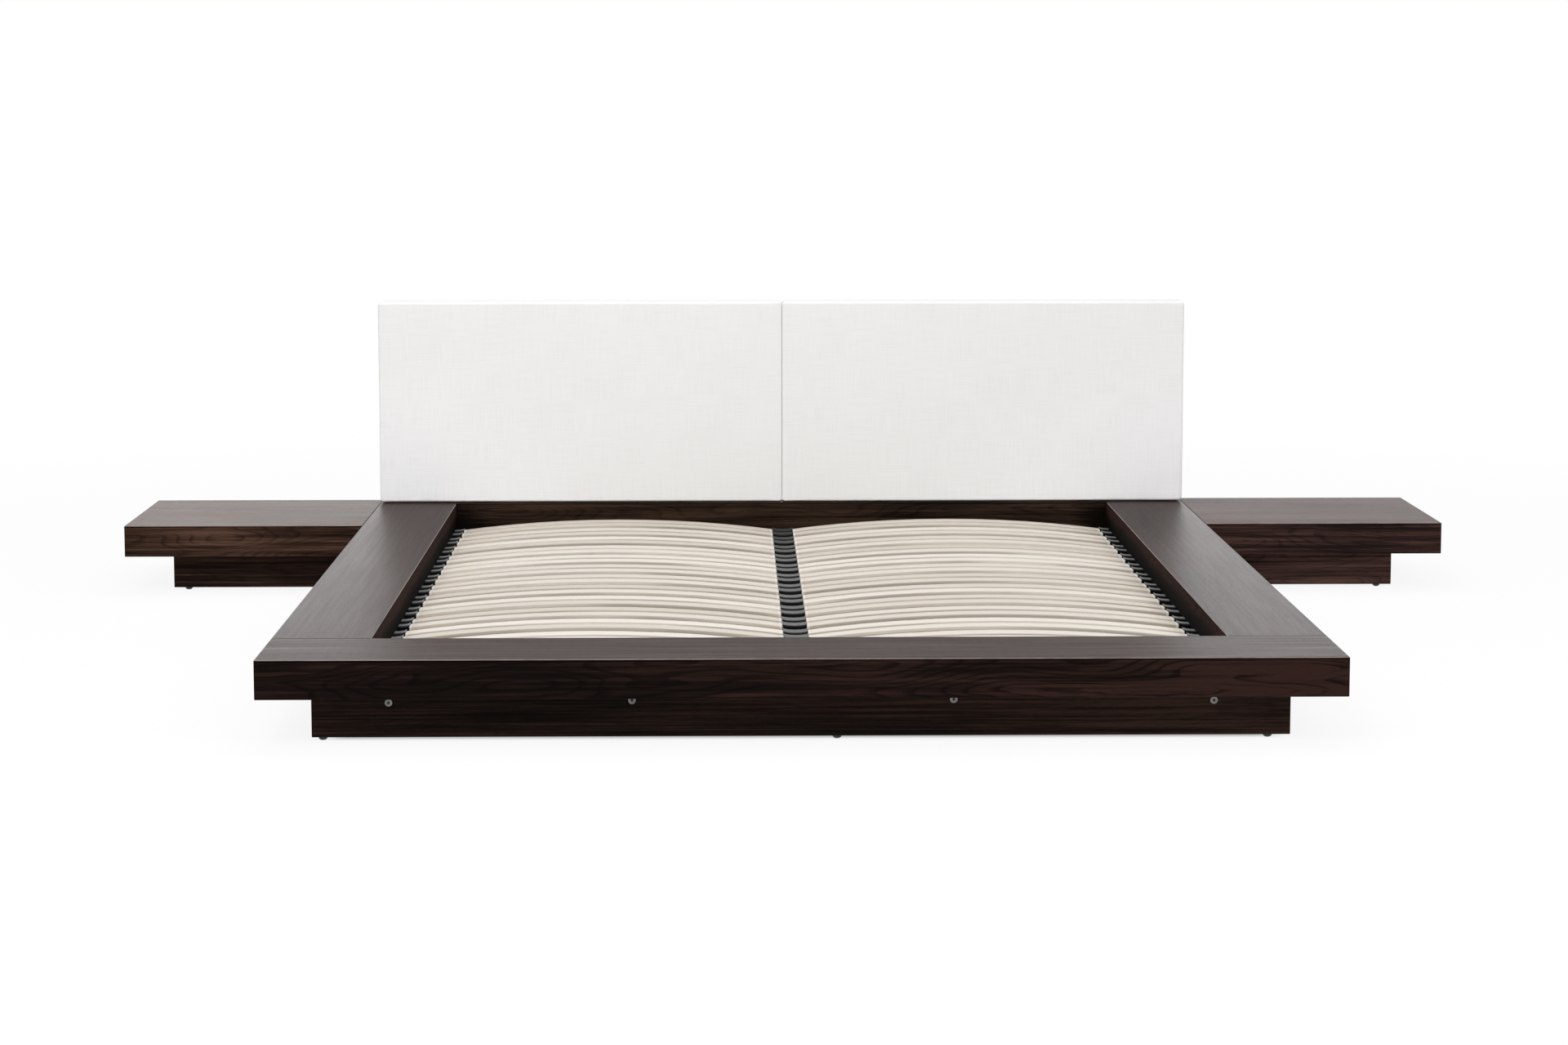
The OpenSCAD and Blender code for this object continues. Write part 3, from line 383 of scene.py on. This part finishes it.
def moulded(name, dark, light, roughness, scale, depth, shine=0.5, upper=None, crest=False):
    """Moulded plastic or rubber: a fine spark-eroded texture and slightly paler worn spots. upper is the
    colour of a painted highlight on the faces that look upwards. With crest, the highlight lies along the
    middle of each slat's sleeve, in a streak that narrows towards the side rail."""
    f = Finish(name, Specular_IOR_Level=shine)
    fine = f.noise(f.x * scale, f.y * scale, f.z * scale, detail=3.0)
    wide = f.noise(f.x * 90.0, f.y * 90.0, f.z * 90.0)
    shade = (fine - 0.5) * 0.5 + (wide - 0.5) * 1.2 + 0.5
    colour = f.ramp(shade, (0.2, dark), (0.8, light))
    if upper:
        # Painted highlight on the faces that look upwards, blotched by the noise
        upwards = f.coordinates("Normal")[2]
        painted_top_highlight = f.between(upwards, 0.90, 0.988) * f.between(shade, 0.0, 1.0, 0.75, 1.0)
        if crest:
            from_pair = f.maths("PINGPONG", f.y - FIRST_PAIR, PAIR_PITCH / 2)
            half_width = f.between(abs(f.x), RECESS_X - 0.042, RECESS_X - 0.004, 0.011, 0.003)
            beyond = abs(from_pair - IN_PAIR / 2) - half_width
            painted_top_highlight = painted_top_highlight * f.between(beyond, 0.0, 0.006, 1.0, 0.1)
        colour = f.mix(painted_top_highlight, colour, tint(*upper))
    return f.set(colour, f.between(fine, 0.2, 0.8, roughness - 0.06, roughness + 0.08), fine, depth, 0.5)


def spun_cloth(name, dark, light, turns):
    """Thin spun cloth with a grid of pressed dots. turns is how many radians its waves turn in a metre."""
    f = Finish(name, Specular_IOR_Level=0.2)
    dots = f.maths("SINE", f.x * turns) * f.maths("SINE", f.z * turns)
    fuzz = f.noise(f.x * 700.0, f.y * 700.0, f.z * 700.0, detail=4.0, roughness=0.7)
    shade = dots * 0.25 + (fuzz - 0.5) * 1.1 + 0.5
    colour = f.ramp(shade, (0.1, dark), (0.9, light))
    return f.set(colour, f.between(fuzz, 0.2, 0.8, 0.8, 0.95), dots * 0.5 + fuzz, 0.0002, 0.6)


def metal(name, dark, light, smooth, rough, metallic=1.0, bolts=None):
    """Plated or painted steel with worn, brighter spots. bolts is the box of a row of bolts whose heads
    face along Y at both ends: what lies deeper than a head's face is painted dark, as the shade in its
    socket."""
    f = Finish(name, Metallic=metallic)
    fine = f.noise(f.x * 900.0, f.y * 900.0, f.z * 900.0, detail=4.0, roughness=0.6)
    wide = f.noise(f.x * 90.0, f.y * 90.0, f.z * 90.0)
    shade = (fine - 0.5) * 0.7 + (wide - 0.5) * 0.9 + 0.5
    colour = f.ramp(shade, (0.2, dark), (0.8, light))
    if bolts:
        low, high = bolts[0][1], bolts[1][1]
        from_middle = abs(f.y - (low + high) / 2)
        face = (high - low) / 2
        # Painted shade inside the sockets of the bolt heads
        colour = f.mix(f.below(from_middle, face - 0.0012, face - 0.0006) * 0.85, colour, tint(26, 25, 25))
    return f.set(colour, f.between(shade, 0.1, 0.9, smooth, rough), fine, 0.00006, 0.4)


def mesh_piece(name, points, faces, material, weave=None):
    """A smooth mesh from whole arrays of points and faces. weave is the place of each face's corners on
    the flat cloth."""
    mesh = bpy.data.meshes.new(name)
    mesh.from_pydata(points.tolist(), [], faces.tolist())
    if weave is not None:
        layer = mesh.uv_layers.new(name="weave")
        layer.data.foreach_set("uv", weave.astype(np.float32).ravel())
    mesh.polygons.foreach_set("use_smooth", np.full(len(mesh.polygons), True))
    mesh.materials.append(material)
    mesh.validate()
    piece = bpy.data.objects.new(name, mesh)
    bpy.context.scene.collection.objects.link(piece)
    return piece


def thicken(piece, wall):
    """Gives a piece made as one sheet its thickness, behind the face that shows."""
    shell = piece.modifiers.new("thickness", "SOLIDIFY")
    shell.thickness, shell.offset = wall, -1.0
    return piece


def grid_quads(index):
    """The corners of each cell in a grid of point numbers, from its first direction to its second."""
    return np.stack([index[:-1, :-1], index[1:, :-1], index[1:, 1:], index[:-1, 1:]], -1).reshape(-1, 4)


def grid_lines(half, count):
    """Lines from -half to half: close ones next to both ends, even ones between, and one at each hem."""
    near = np.linspace(half - CLOSE, half, CLOSE_LINES)
    even = np.linspace(CLOSE - half, half - CLOSE, count)
    return np.unique(np.concatenate([even, near, -near, [half - HEM, HEM - half]]).round(6))


def open_box(half_w, half_h, deep):
    """The six faces of a box of grid points, less a window in the back: its points, its quads, and the
    place of each quad's corners on the flat cloth, which unrolls the sides about the front's edges."""
    gx, gz = grid_lines(half_w, LINES_ACROSS), grid_lines(half_h, LINES_UP)
    near = np.linspace(CROWN, CROWN + CLOSE, CLOSE_LINES)
    gy = np.unique(np.concatenate([near, np.linspace(SIDE_START, deep, SIDE_LINES)]))
    full = np.full_like
    # Each face has two rows of lines, the point and the flat place at lines u and v, and whether the
    # corners of its cells run anticlockwise as seen from outside
    box_faces = [
        (gx, gz, lambda u, v: (u, full(u, CROWN), v, u, v), True),
        (gx, gz, lambda u, v: (u, full(u, deep), v, u, v), False),
        (gx, gy, lambda u, v: (u, v, full(u, half_h), u, half_h + v - CROWN), True),
        (gx, gy, lambda u, v: (u, v, full(u, -half_h), u, CROWN - half_h - v), False),
        (gy, gz, lambda u, v: (full(u, half_w), u, v, half_w + u - CROWN, v), True),
        (gy, gz, lambda u, v: (full(u, -half_w), u, v, CROWN - half_w - u, v), False)]
    points, quads, maps, start = [], [], [], 0
    for first, second, build, outward in box_faces:
        u, v = np.meshgrid(first, second, indexing="ij")
        x, y, z, s, t = (part.ravel() for part in build(u, v))
        quad = grid_quads(np.arange(u.size).reshape(u.shape))
        # Of the back, only the hem is kept
        mid_x, mid_y, mid_z = (part[quad].mean(1) for part in (x, y, z))
        in_hem = (np.abs(mid_x) > half_w - HEM) | (np.abs(mid_z) > half_h - HEM)
        quad = quad[in_hem | (mid_y < deep)]
        if not outward:
            quad = quad[:, ::-1]
        points.append(np.stack([x, y, z], 1))
        maps.append(np.stack([s, t], 1)[quad])
        quads.append(quad + start)
        start += u.size
    points, quads, maps = np.concatenate(points), np.concatenate(quads), np.concatenate(maps)
    points, where = np.unique(points.round(6), axis=0, return_inverse=True)
    quads = where.ravel()[quads]
    used = np.zeros(len(points), bool)
    used[quads] = True
    return points[used], (np.cumsum(used) - 1)[quads], maps


def rounding(p, q):
    """The share of its place that a point at (p, q) from a square corner's middle keeps when the corner
    is made round. It turns squares about that middle into circles, and it is one outside the corner."""
    share = np.maximum(p, q) / np.maximum(np.hypot(p, q), TINY)
    return np.where((p > 0) & (q > 0), share, 1.0)


def padded_panel(name, left, right, material):
    """Cover of one headboard panel, from an open box. A corner of the outline is made round by moving a
    point at (p, q) from the corner's middle to max(p, q) / hypot(p, q) of that place; the front edge
    likewise, from the distance to the outline and the depth. A shallow ripple runs along the edges, where
    the cloth is pulled round the frame. The face is then filled."""
    half_w, half_h = (right - left) / 2, PANEL_H / 2
    points, quads, maps = open_box(half_w, half_h, BACK_Y - HEAD_Y)
    x, y, z = points.T
    # The corners of the outline
    from_seam = half_w - x if right < 0 else x + half_w
    p, q = np.abs(x) - (half_w - CORNER_R), np.abs(z) - (half_h - CORNER_R)
    keep = rounding(p, q)
    x = np.sign(x) * (half_w - CORNER_R + p * keep)
    z = np.sign(z) * (half_h - CORNER_R + q * keep)
    # The front edge, which rolls back along the way to the outline's nearest point
    p, q = p * keep, q * keep
    in_corner, away = (p > 0) & (q > 0), np.hypot(p, q)
    inside = CORNER_R - np.where(in_corner, away, np.maximum(p, q))
    way_x = np.where(in_corner, p / np.maximum(away, TINY), p >= q) * np.sign(x)
    way_z = np.where(in_corner, q / np.maximum(away, TINY), p < q) * np.sign(z)
    edge = SEAM_EDGE_R + (EDGE_R - SEAM_EDGE_R) * np.clip(from_seam / SEAM_REACH, 0, 1)
    out, forward = edge - inside, edge - (y - CROWN)
    keep = rounding(out, forward)
    x, z = x - way_x * out * (1 - keep), z - way_z * out * (1 - keep)
    y = np.where(keep < 1, CROWN + edge - forward * keep, y)
    # The ripple, which fades away from the edge and down the sides
    waves = np.sin(x * 97 + 1.3 * np.sin(x * 31)) * np.sin(z * 88 + 1.1 * np.sin(z * 23) + 0.7)
    fade = np.exp(-inside / RIPPLE_REACH) * np.clip(1 - (y - CROWN) / RIPPLE_DEPTH, 0, 1)
    y = y + RIPPLE * (0.5 + 0.5 * waves) * fade
    points = np.stack([x + (left + right) / 2, y + HEAD_Y, z + PANEL_Z + half_h], 1)
    piece = mesh_piece(name, points, quads, material, maps)
    face = (y < CROWN + 0.0008) & (inside > CORNER_R)
    puff_face(piece, face, (1 - (x / half_w) ** 4) * (1 - (z / half_h) ** 4))
    return thicken(piece, COVER_T)


def puff_face(piece, free, plain):
    """The face is filled by a cloth simulation under pressure, with everything else held. The result is
    scaled so that its highest point stands CROWN proud. A shape from plain is worked out first, but the
    simulation's result always replaces it."""
    mesh = piece.data
    rest = np.empty(len(mesh.vertices) * 3, np.float32)
    mesh.vertices.foreach_get("co", rest)
    rest = rest.reshape(-1, 3)
    rise = CROWN * plain * free
    held = piece.vertex_groups.new(name="held")
    held.add(np.flatnonzero(~free).tolist(), 1.0, "REPLACE")
    cloth = piece.modifiers.new("filling", "CLOTH")
    cloth.settings.vertex_group_mass = "held"
    cloth.settings.use_pressure = True
    cloth.settings.uniform_pressure_force = PRESSURE
    cloth.settings.quality = 5
    cloth.settings.effector_weights.gravity = 0.0
    cloth.collision_settings.use_collision = False
    cloth.point_cache.frame_end = CLOTH_FRAMES
    for step in range(1, CLOTH_FRAMES + 1):
        bpy.context.scene.frame_set(step)
    filled = piece.evaluated_get(bpy.context.evaluated_depsgraph_get()).data
    moved = np.empty(len(mesh.vertices) * 3, np.float32)
    filled.vertices.foreach_get("co", moved)
    rise = np.maximum(rest[:, 1] - moved.reshape(-1, 3)[:, 1], 0) * free
    rise *= CROWN / max(rise.max(), TINY)
    piece.modifiers.remove(cloth)
    piece.vertex_groups.remove(held)
    bpy.context.scene.frame_set(1)
    rest[:, 1] -= rise
    mesh.vertices.foreach_set("co", rest.ravel())
    mesh.update()


def dust_cloth(name, box, material):
    """Thin cloth stapled over the back of one panel, in the place of the box given. It is level with the
    back at the staples and dips in front of it elsewhere: by a cosine wave from staple to staple, which
    fades away from the edge, and by a product of two slow waves over the open frame."""
    (x0, _, z0), (x1, y1, z1) = box
    x, z = np.meshgrid(np.linspace(x0, x1, DUST_ACROSS), np.linspace(z0, z1, DUST_UP), indexing="ij")
    waves = np.sin(x * 41 + 1.7 * np.sin(z * 13)) * np.sin(z * 37 + 1.3 * np.sin(x * 9))
    dip = SAG * (0.5 + 0.5 * waves)
    for along, first, last, across, low, high in ((x, x0, x1, z, z0, z1), (z, z0, z1, x, x0, x1)):
        length = last - first - 2 * STAPLE_INSET
        phase = (along - first - STAPLE_INSET) / length * round(length / STAPLE_PITCH)
        from_edge = np.minimum(across - low, high - across)
        dip = dip * np.clip(from_edge / SAG_REACH, 0, 1)
        between = 0.5 + 0.5 * np.cos(2 * np.pi * phase)
        dip = dip + PUCKER * between * np.exp(-from_edge / PUCKER_REACH)
    points = np.stack([x, y1 - dip, z], -1).reshape(-1, 3)
    quads = grid_quads(np.arange(x.size).reshape(x.shape).T)
    return thicken(mesh_piece(name, points, quads, material), DUST_T)


def staple_row(first, last):
    """The middles of the staples in one row, evenly spaced."""
    count = round((last - first) / STAPLE_PITCH)
    return first + (np.arange(count) + 0.5) * (last - first) / count


def staples(name, box, material):
    """Wire staples in a row round the dust cloth of one panel, whose box is given. Each is a tube of six
    sides along a flat arch that dips into the cloth at both ends. A point of it is the middle of its ring,
    plus the wire's radius times the cosine of its angle outwards and the sine across the arch."""
    (x0, _, z0), (x1, y1, z1) = box
    x0, z0, x1, z1 = x0 + STAPLE_INSET, z0 + STAPLE_INSET, x1 - STAPLE_INSET, z1 - STAPLE_INSET
    xs, zs = staple_row(x0, x1), staple_row(z0, z1)
    level = np.concatenate([np.stack([xs, np.full(len(xs), z)], 1) for z in (z0, z1)])
    upright = np.concatenate([np.stack([np.full(len(zs), x), zs], 1) for x in (x0, x1)])
    middles = np.concatenate([level, upright])
    ways = np.repeat([[1.0, 0.0], [0.0, 1.0]], [len(level), len(upright)], axis=0)
    # The rings of one staple: the way each of them leans, its place along the arch and its height
    lean = np.radians([180, 165, 115, 65, 15, 0])
    along = np.array([-1.0, -1.0, -0.88, 0.88, 1.0, 1.0]) * STAPLE_REACH
    height = np.array([-0.0012, 0.0, 0.0004, 0.0004, 0.0, -0.0012])
    turn = np.linspace(0, 2 * np.pi, WIRE_SIDES, endpoint=False)
    s = along[:, None] + WIRE_R * np.cos(lean)[:, None] * np.cos(turn)
    h = height[:, None] + WIRE_R * np.sin(lean)[:, None] * np.cos(turn)
    t = np.broadcast_to(WIRE_R * np.sin(turn), s.shape)
    way, middle = ways[:, None, None, :], middles[:, None, None, :]
    x = middle[..., 0] + s * way[..., 0] - t * way[..., 1]
    z = middle[..., 1] + s * way[..., 1] + t * way[..., 0]
    points = np.stack([x, np.broadcast_to(y1 + h, x.shape), z], -1).reshape(-1, 3)
    index = np.arange(len(points)).reshape(len(middles), len(along), WIRE_SIDES)
    beside = np.roll(index, -1, axis=2)
    quads = np.stack([index[:, :-1], beside[:, :-1], beside[:, 1:], index[:, 1:]], -1).reshape(-1, 4)
    # Two quads close each end of the six-sided wire
    first, last = index[:, 0], index[:, -1]
    ends = [first[:, [3, 2, 1, 0]], first[:, [5, 4, 3, 0]], last[:, [0, 1, 2, 3]], last[:, [0, 3, 4, 5]]]
    return mesh_piece(name, points, np.concatenate([quads, *ends]), material)


foot_tones = (8, 5, 4), (20, 12, 9), (44, 28, 24)
plinth_tones = (12, 8, 6), (31, 22, 18), (56, 40, 34)
holder_tones = (3, 3, 3), (11, 11, 12)
finishes = {
    "foot": walnut("walnut_foot", "x", foot_tones, drift=0.34, top=0.5, figure=0.7, streaks=1.7, relief=1.2),
    "side_left": walnut("walnut_side_left", "y", foot_tones, seed=3.1, top=0.5, streaks=0.8, inner=True),
    "side_right": walnut("walnut_side_right", "y", foot_tones, seed=7.7, top=0.38, streaks=0.8, inner=True),
    "shelf_left": walnut("walnut_shelf_left", "x", ((21, 12, 8), (43, 29, 21), (76, 55, 44)), seed=11.0,
                         figure=0.45, streaks=1.9, satin=0.44, top=0.25, relief=1.0),
    "shelf_right": walnut("walnut_shelf_right", "x", ((20, 13, 11), (47, 32, 28), (74, 52, 46)), seed=14.0,
                          figure=0.45, streaks=1.9, satin=0.49, top=0.25, relief=1.0),
    "head": walnut("walnut_head", "x", ((15, 10, 7), (42, 31, 23), (66, 49, 38)), figure=0.4, seed=5.0,
                   top=0.2, corners=0.5),
    "plinth_x": walnut("walnut_plinth_x", "x", plinth_tones, figure=0.15, seed=1.0, drift=0.16, streaks=2.0,
                       fine=190.0),
    "plinth_y": walnut("walnut_plinth_y", "y", plinth_tones, figure=0.15, seed=2.0, streaks=2.0, fine=190.0),
    # Painted light: the tones of the shelves' plinth boards are raised to make up for the shade under the
    # shelf tops
    "plinth_left": walnut("walnut_plinth_left", "x", ((18, 12, 9), (42, 28, 22), (72, 50, 41)), figure=0.3,
                          seed=17.0, streaks=2.0, fine=170.0),
    "plinth_right": walnut("walnut_plinth_right", "x", ((24, 16, 14), (56, 40, 36), (84, 62, 56)), figure=0.4,
                           seed=19.0, streaks=2.0, fine=170.0),
    "birch": birch(),
    "plywood": plywood(),
    # Painted highlights on the holders' upper faces: grey on the centre holders and much paler on the side
    # holders, whose finish is otherwise the same
    "holder": moulded("holder_plastic", *holder_tones, 0.32, 2600.0, 0.00006, shine=0.12, upper=(66, 67, 67)),
    "side_holder": moulded("side_holder_plastic", *holder_tones, 0.32, 2600.0, 0.00006, shine=0.12,
                           upper=(176, 177, 175), crest=True),
    "rubber": moulded("spacer_rubber", (18, 18, 18), (34, 33, 32), 0.75, 1800.0, 0.0001),
    "glide": moulded("glide_plastic", (10, 9, 9), (26, 24, 23), 0.35, 1500.0, 0.00004),
    "dust": spun_cloth("dust_cloth", (16, 16, 17), (40, 40, 42), 1500.0),
    "foam": spun_cloth("foam_sheet", (214, 206, 180), (236, 230, 208), 900.0),
    "painted": metal("painted_steel", (30, 30, 31), (58, 58, 60), 0.4, 0.55, metallic=0.0),
    "bolt": metal("bolt_steel", (92, 91, 89), (140, 139, 136), 0.3, 0.45, bolts=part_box("plinth_bolts")),
    "zinc": metal("zinc_steel", (150, 150, 150), (204, 203, 199), 0.26, 0.42),
    "linen": linen()}

# The finish of each CAD node. The nodes that aren't named are of plywood.
looks = {
    "foot_rail": "foot", "side_rail_left": "side_left", "side_rail_right": "side_right", "head_rail": "head",
    "shelf_left_top": "shelf_left", "shelf_right_top": "shelf_right",
    "shelf_left_plinth_front": "plinth_left", "shelf_right_plinth_front": "plinth_right",
    "shelf_left_plinth_back": "plinth_left", "shelf_right_plinth_back": "plinth_right",
    "shelf_left_plinth_side": "plinth_y", "shelf_right_plinth_side": "plinth_y",
    "plinth_front": "plinth_x", "plinth_back_board": "plinth_x", "plinth_left": "plinth_y",
    "plinth_right": "plinth_y", "rail_dowels": "birch", "slats_left": "birch", "slats_right": "birch",
    "slat_holders_left": "side_holder", "slat_holders_right": "side_holder", "slat_holders_centre": "holder",
    "headboard_left_cover": "linen", "headboard_right_cover": "linen", "headboard_left_foam": "foam",
    "headboard_right_foam": "foam", "headboard_left_back": "dust", "headboard_right_back": "dust",
    "headboard_straps": "painted", "strap_bolts": "zinc", "headboard_spacers": "rubber",
    "plinth_bolts": "bolt", "barrel_nuts": "zinc", "angle_brackets": "zinc", "joining_plates": "zinc",
    "wood_screws": "zinc", "glides": "glide"}
for name, node in nodes.items():
    node.data.materials.clear()
    node.data.materials.append(finishes[looks.get(name, "plywood")])

# The two panels of the headboard: the cover, the dust cloth on the back and its staples
for word, left, right in (("left", -PLATFORM_X, -SEAM / 2), ("right", SEAM / 2, PLATFORM_X)):
    panel = padded_panel(f"headboard_{word}_upholstery", left, right, finishes["linen"])
    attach(panel, "root")
    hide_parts(f"headboard_{word}_cover")
    back_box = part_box(f"headboard_{word}_back")
    cloth = dust_cloth(f"headboard_{word}_dust_cloth", back_box, finishes["dust"])
    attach(cloth, "root")
    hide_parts(f"headboard_{word}_back")
    row = staples(f"headboard_{word}_staples", back_box, finishes["zinc"])
    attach(row, "root")

bpy.context.scene.view_settings.view_transform = "Standard"

# The camera stands in front of the foot and looks down a little. Its lens, its place in metres and its
# heading, tilt and roll in degrees were fitted to the bed's edges in the photo
FOCAL, SENSOR = 81.42, 36.0
EYE = (-0.134, -7.2445, 1.153)
HEADING, TILT, ROLL = -0.954, 82.879, -0.024
lens = bpy.data.cameras.new("view")
lens.lens, lens.sensor_width, lens.sensor_fit = FOCAL, SENSOR, "HORIZONTAL"
camera = bpy.data.objects.new("view", lens)
turn = (Matrix.Rotation(math.radians(HEADING), 4, "Z") @ Matrix.Rotation(math.radians(TILT), 4, "X")
        @ Matrix.Rotation(math.radians(ROLL), 4, "Z"))
camera.matrix_world = Matrix.Translation(EYE) @ turn
bpy.context.scene.collection.objects.link(camera)
bpy.context.scene.camera = camera


def lamp(name, place, aim, size, power, spread=180):
    """A soft box of the given width and height that faces the point aim. spread is its beam in degrees."""
    light = bpy.data.lights.new(name, "AREA")
    light.spread = math.radians(spread)
    light.shape, light.size, light.size_y, light.energy = "RECTANGLE", *size, power
    piece = bpy.data.objects.new(name, light)
    piece.location = place
    piece.visible_camera = False
    piece.rotation_euler = (Vector(aim) - Vector(place)).to_track_quat("-Z", "Y").to_euler()
    bpy.context.scene.collection.objects.link(piece)
    return piece


lamp("key", (-2.2, -5.0, 4.4), (0, 0, 0.2), (3.5, 2.5), 185)
lamp("fill", (3.2, -4.6, 3.2), (0, 0, 0.2), (3.0, 2.0), 90)
lamp("top", (0, 0.4, 4.6), (0, 0, 0), (4.0, 3.0), 75)
# A wide, low lamp behind the head, which shows only in the gloss of the upper faces
sheen = lamp("back", (0, 4.2, 0.94), (0, 0, 0.94), (9.0, 1.0), 101)
sheen.visible_diffuse = False
# Two weak lamps for the fronts of the shelves, and one for the lower part of the headboard
for side in (-1, 1):
    lamp(f"corner_{side}", (side * 2.4, -1.4, 1.0), (side * 0.96, 1.1, 0.06), (0.2, 0.2), 0.24, spread=20)
lamp("low", (0, -1.1, 1.3), (0, 1.1, 0.15), (2.2, 0.2), 0.25, spread=30)


def white_for(graph):
    """One for what the eye, metal and gloss see, and zero for what lights the object."""
    rays = graph.node("ShaderNodeLightPath").outputs
    seen = graph.maths("MAXIMUM", rays["Is Glossy Ray"], rays["Is Transmission Ray"])
    return graph.maths("MAXIMUM", seen, rays["Is Camera Ray"])


# The room lights the object evenly at half strength, and the eye, metal and gloss see it white
WHITE = (1.0, 1.0, 1.0, 1.0)
world = bpy.data.worlds.new("studio")
bpy.context.scene.world = world
world.use_nodes = True
world.node_tree.nodes.clear()
room = Graph(world.node_tree)
dim, bright = (room.node("ShaderNodeBackground", sockets={
    "Color": WHITE, "Strength": strength}).outputs[0] for strength in (0.5, 1.0))
both = room.node("ShaderNodeMixShader", sockets={0: white_for(room), 1: dim, 2: bright})
room.node("ShaderNodeOutputWorld", sockets={"Surface": both.outputs[0]})

# A pale floor that keeps a faint shadow round the bed and a deep one inside the plinth
FLOOR_REACH = 40.0
floor_corners = [(x * FLOOR_REACH, y * FLOOR_REACH, 0) for x, y in ((-1, -1), (1, -1), (1, 1), (-1, 1))]
floor_mesh = bpy.data.meshes.new("floor")
floor_mesh.from_pydata(floor_corners, [], [(0, 1, 2, 3)])
floor = bpy.data.objects.new("floor", floor_mesh)
bpy.context.scene.collection.objects.link(floor)
paper = Finish("floor_paper", Base_Color=(0.86, 0.86, 0.86, 1.0), Roughness=0.9, Specular_IOR_Level=0.1)
far = paper.maths("SQRT", paper.x * paper.x + paper.y * paper.y)
in_plinth = paper.below(abs(paper.x), 0.80, 0.86) * paper.below(abs(paper.y), 1.04, 1.10)
share = paper.between(far, 1.8, 5.0, 0.89, 1.0) * (1 - in_plinth * 0.85) * white_for(paper)
glow = paper.node("ShaderNodeEmission", sockets={"Color": WHITE, "Strength": 1.0})
joined = paper.node("ShaderNodeMixShader", sockets={0: share, 1: paper.shader.outputs[0], 2: glow.outputs[0]})
paper.tree.links.new(joined.outputs[0], paper.tree.nodes["Material Output"].inputs["Surface"])
floor_mesh.materials.append(paper.material)
